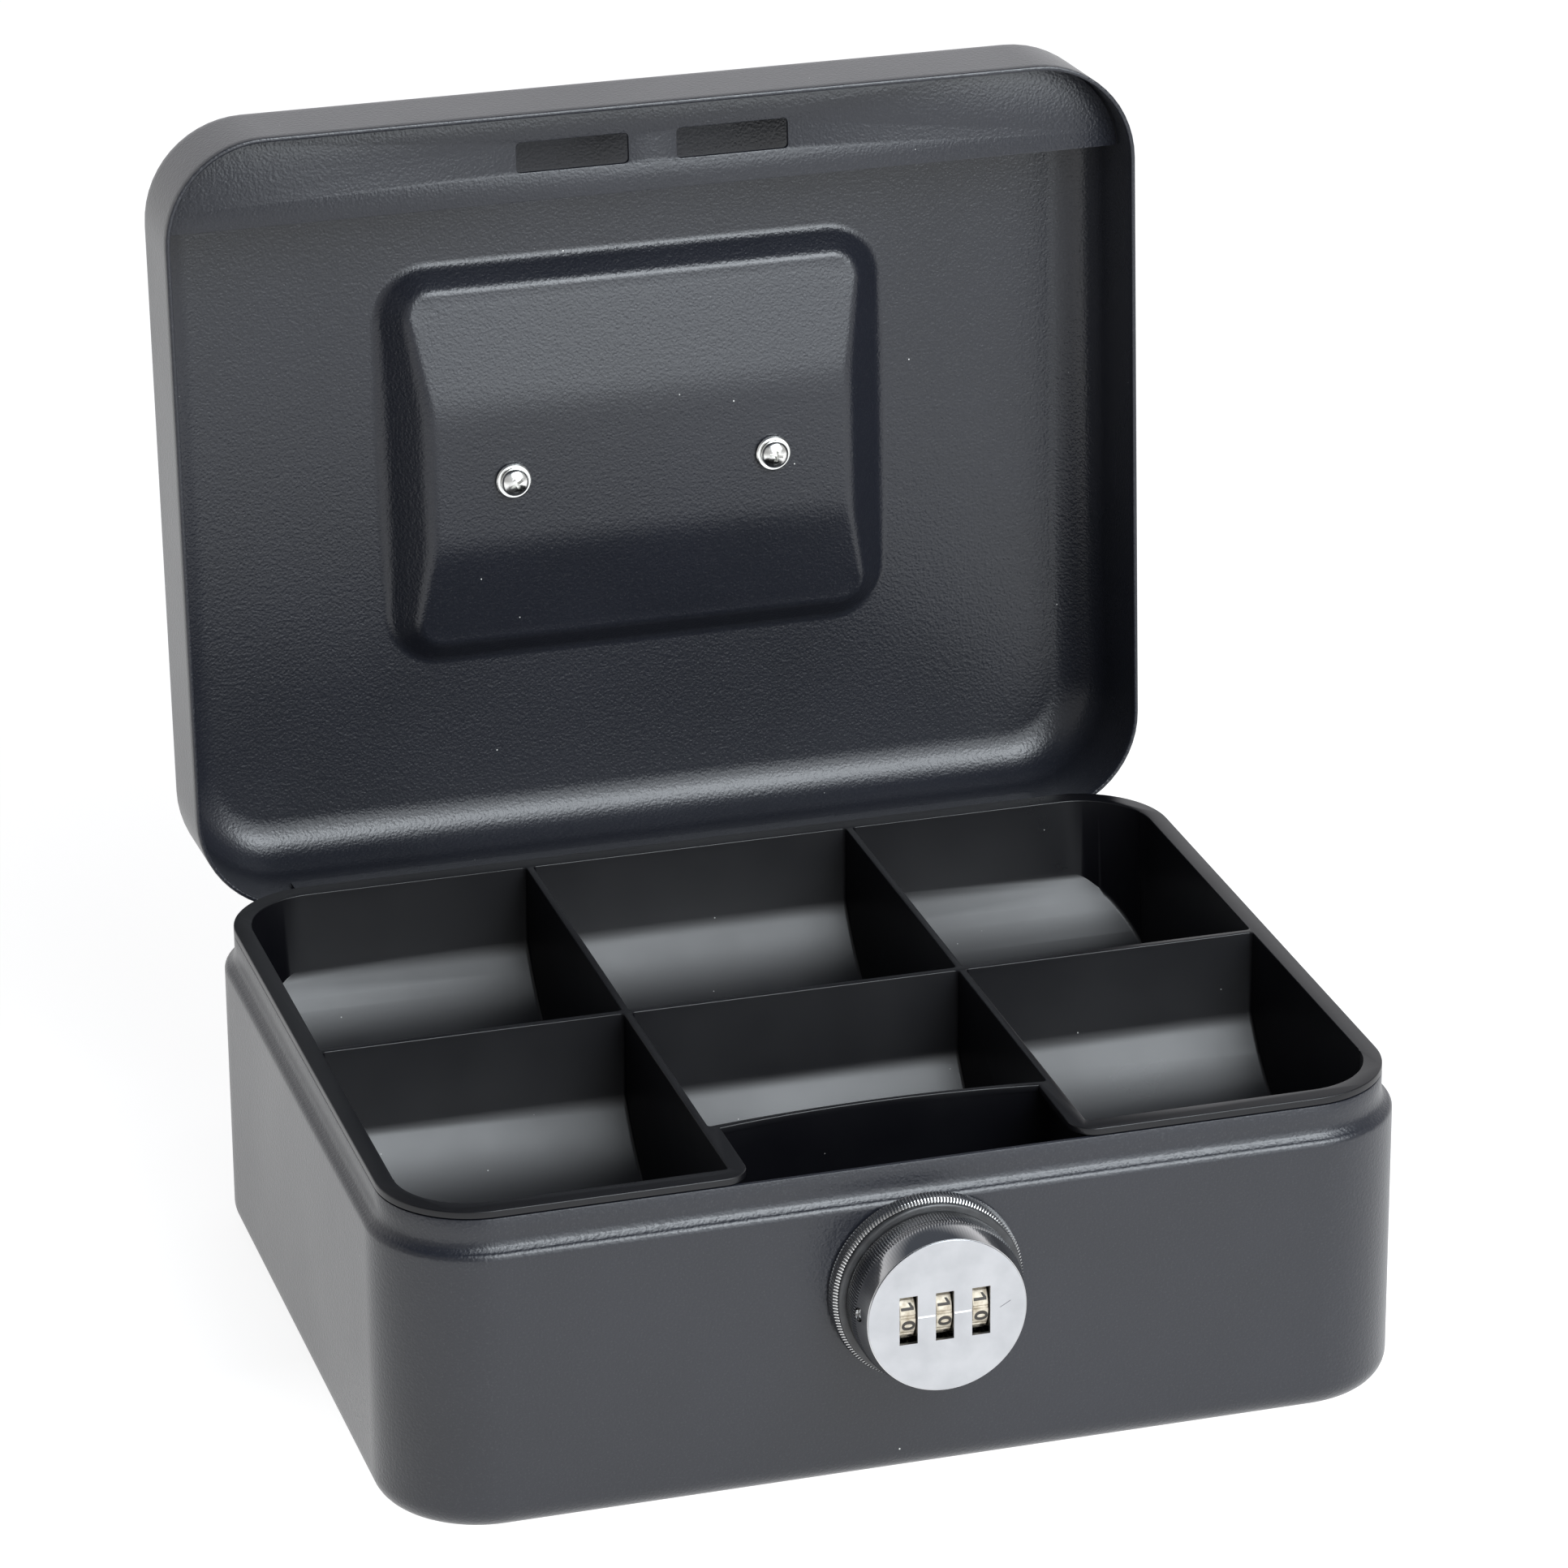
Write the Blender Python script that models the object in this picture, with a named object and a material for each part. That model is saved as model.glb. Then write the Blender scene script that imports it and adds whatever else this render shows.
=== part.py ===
"""A steel cash box with a lift-out coin tray, a combination knob lock and a recessed carry handle.

Frame: +Z up, front towards -Y, origin at the centre of the underside. Sizes are in millimetres and
become metres as each mesh is made. The lid, its fittings and the handle are drawn with the lid closed,
and the empties on their hinge axes then turn them open.
"""
import math

import bmesh
import bpy
from mathutils import Matrix, Vector

MM = 0.001

# Box
WIDTH = 200.0
DEPTH = 160.0
CORNER_R = 20.7
SHEET = 0.9
BOTTOM_R = 5.0
CORNER_STEPS = 6

# Neck that the lid closes over
NECK_INSET = 2.1
NECK_TOP_Z = 63.4
SHOULDER = (
    (0.0, 55.9), (0.1, 56.5), (0.4, 56.95), (0.9, 57.2), (1.4, 57.5), (1.8, 58.1), (2.05, 58.9), (2.1, 59.6),
)
SHOULDER_INSIDE = (
    (0.9, 55.8), (1.0, 56.1), (1.3, 56.35), (2.0, 56.75), (2.6, 57.4), (2.9, 58.4), (3.0, 59.3),
)

# Lid, as closed
LID_RIM_Z = 57.5
LID_TOP_Z = 85.6
LID_EDGE_R = 8.2
LID_OPEN_DEG = 93.0
STRIKE_Z = 65.45
STRIKE_DEPTH = 19.8
STRIKE_FLANGE_H = 6.0
STRIKE_SLOT_X = (5.0, 28.1)
STRIKE_SLOT_Y = (-72.3, -66.1)
STRIKE_SLOT_R = 1.2

# Handle recess pressed into the lid's top: its mouth, the folds across its floor and its wall's slope
RECESS_MOUTH = (52.0, -43.0, 39.0, 10.0)
RECESS_FOLDS = (-15.0, 14.5)
RECESS_DEEP = 8.1
RECESS_SHALLOW = 4.6
RECESS_SLOPE = 1.02
RECESS_WALL = ((0.12, 0.06), (0.35, 0.33), (0.65, 0.70), (0.88, 0.94))

# Long strip hinge behind the box
HINGE_Y = 81.5
HINGE_Z = 57.0
HINGE_LENGTH = 158.5
HINGE_KNUCKLES = 11
HINGE_CURL_R = 1.0
HINGE_STRIP = 0.5
HINGE_PIN_R = 0.5
HINGE_LEAF_TOP_Z = 68.5
HINGE_LEAF_FOOT_Z = 46.0
HINGE_WINDOW_Z = (55.3, 58.7)

# Coin tray
TRAY_TOP_Z = 65.0
TRAY_FLANGE = 1.3
TRAY_WALL = 1.4
TRAY_INSIDE = (94.3, 73.8)
TRAY_INSIDE_R = 14.6
TRAY_DIVIDER = 1.5
TRAY_DIVIDER_X = 33.9
TRAY_DIVIDER_Y = -0.6
SCOOP_R = 42.2
SCOOP_AXIS_Z = 69.8
SCOOP_STEPS = 12
TRAY_NOTCH_X = 31.2
TRAY_NOTCH_Y = -56.4
TRAY_NOTCH_BOW = 2.4
TRAY_NOTCH_WALL = 1.0
TRAY_NOTCH_R = 5.0

# Lock: everything turns about one axis along Y
LOCK_X = 1.0
LOCK_Z = 39.5
WALL_HOLE_R = 9.1
FACE_Y = -94.4
FACE_R = 14.6
FACE_SHEET = 0.7
KNOB_R = 16.6
HUB_R = 15.0
RING_R = 17.9
COLLAR_R = 18.8
BUSH_R = 8.7
BUSH_BORE_R = 6.0
SPINDLE_R = 5.6
SQUARE = 7.0
DIAL_R = 5.9
DIAL_WIDTH = 3.1
DIAL_BORE_R = 1.25
DIAL_AXLE_R = 0.95
DIAL_PITCH = 7.0
DIAL_SHIFT = -0.5
WINDOW = (3.5, 9.7)
HOOK_INNER_R = 27.6
HOOK_OUTER_R = 31.4
HOOK_HALF_DEG = 38.0
HOOK_ARM = 8.0
HOOK_Y = (-70.4, -67.9)

# Carry handle
POST_X = 27.5
POST_Y = 0.5
POST_SIZE = (5.5, 4.5)
POST_TOP_Z = 84.4
BAIL_Z = 81.5
BAIL_ARM_X = 36.2
BAIL_REACH = 27.0
BAIL_ROD_R = 2.2
BAIL_PIN_R = 1.5
BAIL_FOOT_R = 2.4
BAIL_BEND_R = 7.0
SCREW_R = 1.45
SCREW_HEAD_R = 2.8
SCREW_WASHER_R = 3.65

GAP = 0.3


# ---- shapes -------------------------------------------------------------------------------------

def new_object(name, points, faces):
    """An object drawn in millimetres, with all its faces turned outwards."""
    mesh = bpy.data.meshes.new(name)
    mesh.from_pydata([Vector(p) * MM for p in points], [], faces)
    shape = bmesh.new()
    shape.from_mesh(mesh)
    bmesh.ops.recalc_face_normals(shape, faces=shape.faces)
    shape.to_mesh(mesh)
    shape.free()
    obj = bpy.data.objects.new(name, mesh)
    bpy.context.scene.collection.objects.link(obj)
    return obj


def arc(centre, radius, start_deg, end_deg, steps):
    angles = [math.radians(start_deg + (end_deg - start_deg) * k / steps) for k in range(steps + 1)]
    return [(centre[0] + radius * math.cos(a), centre[1] + radius * math.sin(a)) for a in angles]


def rounded(half_x, low_y, high_y, radius, stops=(), steps=CORNER_STEPS):
    """Anticlockwise rounded rectangle. stops are extra points at those y on its two straight sides."""
    x, low, high = half_x - radius, low_y + radius, high_y - radius
    points = [(half_x, y) for y in stops]
    points += arc((x, high), radius, 0, 90, steps) + arc((-x, high), radius, 90, 180, steps)
    points += [(-half_x, y) for y in reversed(stops)]
    points += arc((-x, low), radius, 180, 270, steps) + arc((x, low), radius, 270, 360, steps)
    return points


def box_outline(inset, stops=()):
    """The box's plan outline, moved in by inset."""
    return rounded(WIDTH / 2 - inset, inset - DEPTH / 2, DEPTH / 2 - inset, CORNER_R - inset, stops)


def at_height(outline, z):
    """Rings for loft(): z is a number, or a function of y."""
    return [(x, y, z(y) if callable(z) else z) for x, y in outline]


def loft(name, rings, first_cap, last_cap):
    """Skin over rings of equally many points. The caps are lists of faces, as indices into their ring."""
    count = len(rings[0])
    points = [p for ring in rings for p in ring]
    faces = []
    for k in range(len(rings) - 1):
        for i in range(count):
            j = (i + 1) % count
            faces.append((k * count + i, k * count + j, (k + 1) * count + j, (k + 1) * count + i))
    faces += first_cap
    faces += [[index + (len(rings) - 1) * count for index in face] for face in last_cap]
    return new_object(name, points, faces)


def prism(name, outline, axis, low, high):
    """The outline extruded along an axis. It holds (y, z) along x, (x, z) along y and (x, y) along z."""
    place = {
        "x": lambda u, v, w: (w, u, v),
        "y": lambda u, v, w: (u, w, v),
        "z": lambda u, v, w: (u, v, w),
    }[axis]
    count = len(outline)
    points = [place(u, v, w) for w in (low, high) for u, v in outline]
    faces = [(i, (i + 1) % count, (i + 1) % count + count, i + count) for i in range(count)]
    faces += [list(range(count)), list(range(count, 2 * count))]
    return new_object(name, points, faces)


def block(name, low, high):
    outline = [(low[0], low[1]), (high[0], low[1]), (high[0], high[1]), (low[0], high[1])]
    return prism(name, outline, "z", low[2], high[2])


def rod(name, axis, centre, radius, low, high, steps=16):
    """A cylinder along an axis. centre holds the other two coordinates, in prism()'s order."""
    return prism(name, arc(centre, radius, 0, 360, steps)[:-1], axis, low, high)


def lathe(name, profile, closed=True, steps=40):
    """(radius, y) points turned about the lock's axis. An open profile starts and ends on the axis."""
    points, rings = [], []
    for radius, y in profile:
        if radius == 0:
            rings.append([len(points)] * steps)
            points.append((LOCK_X, y, LOCK_Z))
        else:
            rings.append(list(range(len(points), len(points) + steps)))
            points += [(LOCK_X + u, y, LOCK_Z + v) for u, v in arc((0, 0), radius, 0, 360, steps)[:-1]]
    pairs = list(zip(rings, rings[1:] + rings[:1]))[: len(rings) if closed else len(rings) - 1]
    faces = []
    for a, b in pairs:
        for i in range(steps):
            j = (i + 1) % steps
            corners = [a[i], a[j], b[j], b[i]]
            faces.append([c for k, c in enumerate(corners) if c != corners[k - 1]])
    return new_object(name, points, faces)


def sweep(name, path, radii, sides=12):
    """A round rod along a path that lies flat in XY at one height, with closed ends."""
    rings = []
    for k, here in enumerate(path):
        ahead, behind = path[min(k + 1, len(path) - 1)], path[max(k - 1, 0)]
        along = (Vector(ahead) - Vector(behind)).normalized()
        across = along.cross(Vector((0, 0, 1)))
        rings.append([
            Vector(here) + across * u + Vector((0, 0, v))
            for u, v in arc((0, 0), radii[k], 0, 360, sides)[:-1]
        ])
    cap = [list(range(sides))]
    return loft(name, rings, cap, cap)


def combine(obj, other, operation="DIFFERENCE"):
    """Applies one exact Boolean and removes the other object."""
    modifier = obj.modifiers.new(operation, "BOOLEAN")
    modifier.operation = operation
    modifier.object = other
    graph = bpy.context.evaluated_depsgraph_get()
    graph.update()
    result = bpy.data.meshes.new_from_object(obj.evaluated_get(graph))
    obj.modifiers.clear()
    obj.data = result
    bpy.data.objects.remove(other)
    return obj


# ---- materials and placing ----------------------------------------------------------------------

def material(name, colour, roughness, metallic=0.0):
    made = bpy.data.materials.get(name) or bpy.data.materials.new(name)
    made.use_nodes = True
    shader = made.node_tree.nodes["Principled BSDF"]
    shader.inputs["Base Color"].default_value = (*colour, 1.0)
    shader.inputs["Roughness"].default_value = roughness
    shader.inputs["Metallic"].default_value = metallic
    return made


def powder_coat():
    return material("powder_coat", (0.042, 0.045, 0.050), 0.55)


def chrome():
    return material("chrome", (0.78, 0.78, 0.77), 0.12, 1.0)


def zinc():
    return material("zinc_plate", (0.60, 0.60, 0.58), 0.32, 1.0)


def pivot(name, at, turn_deg=0.0, carrier=None):
    """An empty on a joint's axis. What it carries is drawn before its turn about X."""
    empty = bpy.data.objects.new(name, None)
    bpy.context.scene.collection.objects.link(empty)
    start = Vector(carrier["drawn_at"]) if carrier else Vector((0, 0, 0))
    empty.parent = carrier
    empty.location = (Vector(at) - start) * MM
    empty.rotation_euler.x = math.radians(turn_deg)
    empty["drawn_at"] = list(at)
    return empty


def finish(obj, look, carrier=None):
    """Gives an object its name, material and shading, and its origin on the axis that carries it."""
    obj.data.name = obj.name
    obj.data.materials.clear()
    obj.data.materials.append(look)
    obj.data.shade_smooth()
    obj.data.set_sharp_from_angle(angle=math.radians(35))
    if carrier:
        obj.data.transform(Matrix.Translation(Vector(carrier["drawn_at"]) * -MM))
        obj.parent = carrier
    return obj


# ---- base ---------------------------------------------------------------------------------------

def quarter(radius, centre_inset, centre_z, start_deg, end_deg, steps):
    """(inset, z) points round the edge between a wall and a flat; inset grows towards the middle."""
    return [(centre_inset - u, centre_z + v) for u, v in arc((0, 0), radius, start_deg, end_deg, steps)]


def base_shell():
    inner_r = BOTTOM_R - SHEET
    profile = quarter(BOTTOM_R, BOTTOM_R, BOTTOM_R, -90, 0, 4) + list(SHOULDER)
    profile += [(NECK_INSET, NECK_TOP_Z), (NECK_INSET + SHEET, NECK_TOP_Z)] + list(reversed(SHOULDER_INSIDE))
    profile += quarter(inner_r, BOTTOM_R, BOTTOM_R, 0, -90, 4)
    rings = [at_height(box_outline(inset), z) for inset, z in profile]
    cap = [list(range(len(rings[0])))]
    shell = loft("base_shell", rings, cap, cap)
    combine(shell, rod("hole", "y", (LOCK_X, LOCK_Z), WALL_HOLE_R, -DEPTH / 2 - 2, -DEPTH / 2 + 3, 32))
    half = HINGE_LENGTH / 2 + 0.6
    low_z, high_z = HINGE_WINDOW_Z
    combine(shell, block("window", (-half, DEPTH / 2 - 2.7, low_z), (half, DEPTH / 2 + 2, high_z)))
    return finish(shell, powder_coat())


# ---- hinge --------------------------------------------------------------------------------------

def strip_outline(path, thickness):
    """A closed outline of even thickness along an open path in YZ."""
    left, right = [], []
    for k, here in enumerate(path):
        ahead, behind = Vector(path[min(k + 1, len(path) - 1)]), Vector(path[max(k - 1, 0)])
        along = (ahead - behind).normalized()
        across = Vector((-along.y, along.x)) * thickness / 2
        left.append(Vector(here) + across)
        right.append(Vector(here) - across)
    return [tuple(p) for p in left + right[::-1]]


def hinge_leaf(name, side, end_z, wall_y, first_knuckle, carrier=None):
    """A leaf that hugs a wall, passes through the window and curls round the pin.

    side is 1 for the lid's leaf, which goes up from the pin, and -1 for the base's, which goes down.
    """
    strip_z = HINGE_Z + side * HINGE_CURL_R
    path = [(wall_y, end_z)]
    path += [(y, strip_z + side * z) for y, z in arc((wall_y + 0.6, 0.6), 0.6, 180, 270, 3)]
    curl = arc((HINGE_Y, 0), HINGE_CURL_R, 90, -190, 14)
    path += [(y, HINGE_Z + side * z) for y, z in curl]
    half = HINGE_LENGTH / 2
    leaf = prism(name, strip_outline(path, HINGE_STRIP), "x", -half, half)
    pitch = HINGE_LENGTH / HINGE_KNUCKLES
    for k in range(first_knuckle, HINGE_KNUCKLES, 2):
        low, high = -half + k * pitch - GAP / 2, -half + (k + 1) * pitch + GAP / 2
        combine(leaf, block("knuckle", (low, DEPTH / 2 + 0.2, HINGE_Z - 3), (high, HINGE_Y + 3, HINGE_Z + 3)))
    return finish(leaf, powder_coat(), carrier)


def hinge_pin():
    pin = rod("hinge_pin", "x", (HINGE_Y, HINGE_Z), HINGE_PIN_R, -HINGE_LENGTH / 2, HINGE_LENGTH / 2, 12)
    return finish(pin, zinc())


# ---- coin tray ----------------------------------------------------------------------------------

def scoop_profile(low_y, high_y, radius, centre_y, top_z):
    """(y, z) outline with a round floor between two upright walls."""
    def floor(y):
        return SCOOP_AXIS_Z - math.sqrt(radius**2 - (y - centre_y) ** 2)
    steps = [low_y + (high_y - low_y) * k / SCOOP_STEPS for k in range(SCOOP_STEPS + 1)]
    return [(high_y, top_z), (low_y, top_z)] + [(y, floor(y)) for y in steps]


def notch_outline(half_x, front_y, shift=0.0):
    """The lock's notch in plan, with its back wall bowed away from the front."""
    steps = [2 * k / 8 - 1 for k in range(9)]
    back = [(half_x * s, TRAY_NOTCH_Y + shift + TRAY_NOTCH_BOW * (1 - s * s)) for s in reversed(steps)]
    return back + [(-half_x, front_y), (half_x, front_y)]


def flared_notch_outline():
    """The notch as the flange frames it: its front corners turn outwards in arcs."""
    edge_y = NECK_INSET - DEPTH / 2
    corner_y, corner_x = edge_y + TRAY_NOTCH_R, TRAY_NOTCH_X + TRAY_NOTCH_R
    back = notch_outline(TRAY_NOTCH_X, corner_y)[:-2]
    left = arc((-corner_x, corner_y), TRAY_NOTCH_R, 0, -90, 5)
    right = arc((corner_x, corner_y), TRAY_NOTCH_R, 270, 180, 5)
    return back + left + [(-corner_x, edge_y - 3), (corner_x, edge_y - 3)] + right


def tray_body(inside_x, inside_y):
    """Flange and outer body, with the underside following the two scoops."""
    outer_x, outer_y = inside_x + TRAY_WALL, inside_y + TRAY_WALL
    outline = rounded(outer_x, -outer_y, outer_y, TRAY_INSIDE_R + TRAY_WALL)
    body = prism("coin_tray", outline, "z", 20, TRAY_TOP_Z - 0.5)
    front = scoop_profile(-outer_y - 1, TRAY_DIVIDER_Y, SCOOP_R + TRAY_WALL, scoop_centre(-1), TRAY_TOP_Z)
    rear = scoop_profile(TRAY_DIVIDER_Y, outer_y + 1, SCOOP_R + TRAY_WALL, scoop_centre(1), TRAY_TOP_Z)
    hull = prism("scoops", front[1:] + rear[3:] + rear[:1], "x", -outer_x - 1, outer_x + 1)
    combine(body, hull, "INTERSECT")
    flange = prism("flange", box_outline(NECK_INSET), "z", TRAY_TOP_Z - TRAY_FLANGE, TRAY_TOP_Z)
    return combine(body, flange, "UNION")


def scoop_centre(side):
    inner = TRAY_DIVIDER_Y + side * TRAY_DIVIDER / 2
    return (inner + side * TRAY_INSIDE[1]) / 2


def coin_tray(carrier):
    inside_x, inside_y = TRAY_INSIDE
    tray = tray_body(inside_x, inside_y)
    edge = TRAY_DIVIDER_X + TRAY_DIVIDER / 2
    columns = ((-inside_x, -edge), (TRAY_DIVIDER - edge, edge - TRAY_DIVIDER), (edge, inside_x))
    for side in (-1, 1):
        wall_y = TRAY_DIVIDER_Y + side * TRAY_DIVIDER / 2
        low_y, high_y = sorted((wall_y, side * inside_y))
        for k, (low_x, high_x) in enumerate(columns):
            profile = scoop_profile(low_y, high_y, SCOOP_R, scoop_centre(side), TRAY_TOP_Z + 2)
            cell = prism("cell", profile, "x", low_x, high_x)
            if k != 1:
                bounds = rounded(inside_x, -inside_y, inside_y, TRAY_INSIDE_R)
                combine(cell, prism("bounds", bounds, "z", 10, 80), "INTERSECT")
            elif side == -1:
                kept = notch_outline(edge, -DEPTH, TRAY_NOTCH_WALL)
                combine(cell, prism("kept", kept, "z", 10, 80))
            combine(tray, cell)
    combine(tray, prism("notch_top", flared_notch_outline(), "z", TRAY_TOP_Z - 3, TRAY_TOP_Z + 2))
    lower_half = edge - TRAY_DIVIDER
    lower = notch_outline(lower_half, NECK_INSET - DEPTH / 2 - 1)
    combine(tray, prism("notch", lower, "z", 10, TRAY_TOP_Z - TRAY_FLANGE))
    return finish(tray, material("tray_plastic", (0.012, 0.012, 0.013), 0.28), carrier)


# ---- lock ---------------------------------------------------------------------------------------

def lock_mounting():
    """What is fixed to the front wall: knurled collar with its threaded bush, ring, washer and nut."""
    outer_y = -DEPTH / 2 - GAP
    web_y, rim_y, bush_y = outer_y - 0.6, outer_y - 3.1, -71.0
    collar = lathe("lock_collar", [
        (COLLAR_R - 0.2, outer_y), (COLLAR_R, outer_y - 0.8), (COLLAR_R - 0.5, rim_y + 0.3),
        (COLLAR_R - 1.1, rim_y), (HUB_R + GAP, rim_y), (HUB_R + GAP, web_y),
        (BUSH_BORE_R, web_y), (BUSH_BORE_R, bush_y), (BUSH_R, bush_y), (BUSH_R, outer_y),
    ])
    finish(collar, chrome())
    ring = lathe("lock_ring", [
        (HUB_R + 0.5, rim_y - GAP), (RING_R - 0.3, rim_y - GAP), (RING_R, rim_y - 0.7),
        (RING_R - 0.3, rim_y - 1.2), (HUB_R + 0.5, rim_y - 1.2),
    ])
    finish(ring, material("ring_plastic", (0.016, 0.016, 0.017), 0.35))
    inner_y = -DEPTH / 2 + SHEET + GAP
    washer = lathe("lock_washer", [
        (BUSH_R + 0.4, inner_y), (12.6, inner_y), (12.6, inner_y + 0.8), (BUSH_R + 0.4, inner_y + 0.8),
    ])
    finish(washer, zinc())
    nut_y = inner_y + 0.8 + GAP
    hexagon = arc((LOCK_X, LOCK_Z), 12 / math.cos(math.radians(30)), 0, 360, 6)[:-1]
    nut = prism("lock_nut", hexagon, "y", nut_y, nut_y + 4.0)
    combine(nut, rod("thread", "y", (LOCK_X, LOCK_Z), BUSH_R + GAP, nut_y - 1, nut_y + 5, 32))
    finish(nut, zinc())


def dial_x(index):
    return LOCK_X + DIAL_SHIFT + (index - 1) * DIAL_PITCH


def dial_axis_y():
    return FACE_Y + 0.4 + DIAL_R


def knob_body(carrier):
    back_y, rear_y, shoulder_y = -82.0, -84.9, -84.9
    body = lathe("knob_body", [
        (0, back_y), (HUB_R, back_y), (HUB_R, rear_y), (KNOB_R - 0.4, shoulder_y), (KNOB_R, shoulder_y - 0.4),
        (KNOB_R, -89.6), (KNOB_R - 0.4, -90.0), (FACE_R + 0.7, FACE_Y + 0.3), (FACE_R + 0.4, FACE_Y),
        (FACE_R + GAP, FACE_Y), (FACE_R + GAP, FACE_Y + FACE_SHEET + GAP), (0, FACE_Y + FACE_SHEET + GAP),
    ], closed=False)
    for index in range(3):
        x, half_z = dial_x(index), DIAL_R + 0.4
        low, high = (x - 1.85, FACE_Y - 1, LOCK_Z - half_z), (x + 1.85, back_y + 1, LOCK_Z + half_z)
        combine(body, block("slot", low, high))
    low_x, high_x = dial_x(0) - 3.4, dial_x(2) + 3.4
    combine(body, rod("bore", "x", (dial_axis_y(), LOCK_Z), DIAL_AXLE_R + GAP, low_x - 1, high_x + 1, 12))
    for low_z, high_z in ((5.9, 7.6), (-8.8, -5.9)):
        low, high = (low_x, -90.8, LOCK_Z + low_z), (high_x, back_y + 1, LOCK_Z + high_z)
        combine(body, block("pocket", low, high))
    return finish(body, chrome(), carrier)


def face_plate(carrier):
    plate = lathe("face_plate", [
        (0, FACE_Y + FACE_SHEET), (FACE_R, FACE_Y + FACE_SHEET), (FACE_R, FACE_Y + 0.1),
        (FACE_R - 0.1, FACE_Y), (0, FACE_Y),
    ], closed=False)
    half_x, half_z = WINDOW[0] / 2, WINDOW[1] / 2
    for index in range(3):
        x = dial_x(index)
        low, high = (x - half_x, FACE_Y - 1, LOCK_Z - half_z), (x + half_x, FACE_Y + 2, LOCK_Z + half_z)
        combine(plate, block("opening", low, high))
    return finish(plate, material("satin_steel", (0.70, 0.71, 0.72), 0.35, 1.0), carrier)


def dials(knob):
    """Three number wheels, each carried by its own empty on their common axle."""
    y = dial_axis_y()
    for index, side in enumerate(("left", "middle", "right")):
        x = dial_x(index)
        carrier = pivot("dial_axis_" + side, (x, y, LOCK_Z), carrier=knob)
        wheel = rod("dial_" + side, "x", (y, LOCK_Z), DIAL_R, x - DIAL_WIDTH / 2, x + DIAL_WIDTH / 2, 30)
        combine(wheel, rod("bore", "x", (y, LOCK_Z), DIAL_BORE_R, x - 3, x + 3, 12))
        finish(wheel, material("dial_gold", (0.66, 0.55, 0.36), 0.35, 0.6), carrier)
    low_x, high_x = dial_x(0) - 4.0, dial_x(2) + 4.0
    axle = rod("dial_axle", "x", (y, LOCK_Z), DIAL_AXLE_R, low_x, high_x, 12)
    finish(axle, zinc(), knob)


def knob_insides(knob):
    """The comb spring that clicks the wheels, and the side bar that the wheels let in or keep out."""
    z = LOCK_Z + 6.8
    root_y, tip_y = -83.2, -90.2
    outline = [(dial_x(0) - 3.0, root_y)]
    for index in range(3):
        x = dial_x(index)
        outline += [(x - 1.4, root_y - 1.2), (x - 1.4, tip_y), (x + 1.4, tip_y), (x + 1.4, root_y - 1.2)]
    outline.append((dial_x(2) + 3.0, root_y))
    spring = prism("detent_spring", outline, "z", z - 0.15, z + 0.15)
    finish(spring, material("spring_steel", (0.35, 0.35, 0.36), 0.3, 1.0), knob)
    carrier = pivot("side_bar_slide", (LOCK_X, dial_axis_y(), LOCK_Z - 7.0), carrier=knob)
    low, high = (dial_x(0) - 3.0, -90.2, LOCK_Z - 7.4), (dial_x(2) + 3.0, -86.2, LOCK_Z - 6.4)
    finish(block("side_bar", low, high), zinc(), carrier)


def spindle(carrier):
    """Flange behind the knob and a shaft through the bush, ending in a square for the hook."""
    front_y, flange_y, square_y, end_y = -81.7, -81.2, -70.7, -68.2
    shaft = lathe("lock_spindle", [
        (0, front_y), (HUB_R - 0.2, front_y), (HUB_R - 0.2, flange_y), (SPINDLE_R, flange_y),
        (SPINDLE_R, square_y), (0, square_y),
    ], closed=False)
    half = SQUARE / 2
    low, high = (LOCK_X - half, square_y - 1, LOCK_Z - half), (LOCK_X + half, end_y, LOCK_Z + half)
    combine(shaft, block("square", low, high), "UNION")
    combine(shaft, rod("tapped", "y", (LOCK_X, LOCK_Z), 2.2, end_y - 8.5, end_y + 1, 16))
    return finish(shaft, zinc(), carrier)


def hook_cam(carrier):
    """An arm with a curved hook that swings up through one slot of the strike plate and down the other."""
    hub_r, half = 8.5, HOOK_ARM / 2
    start = -HOOK_HALF_DEG

    def spread(radius):
        return math.degrees(math.asin(half / radius))
    outline = arc((0, 0), hub_r, start + spread(hub_r), start + 360 - spread(hub_r), 20)
    outline += arc((0, 0), HOOK_OUTER_R, start - spread(HOOK_OUTER_R), HOOK_HALF_DEG - 2, 16)
    outline += arc((0, 0), HOOK_INNER_R, HOOK_HALF_DEG, start + spread(HOOK_INNER_R), 14)
    placed = [(LOCK_X + u, LOCK_Z + v) for u, v in outline]
    cam = prism("hook_cam", placed, "y", *HOOK_Y)
    reach = SQUARE / 2 + 0.2
    low = (LOCK_X - reach, HOOK_Y[0] - 1, LOCK_Z - reach)
    high = (LOCK_X + reach, HOOK_Y[1] + 1, LOCK_Z + reach)
    combine(cam, block("square", low, high))
    return finish(cam, zinc(), carrier)


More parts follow.
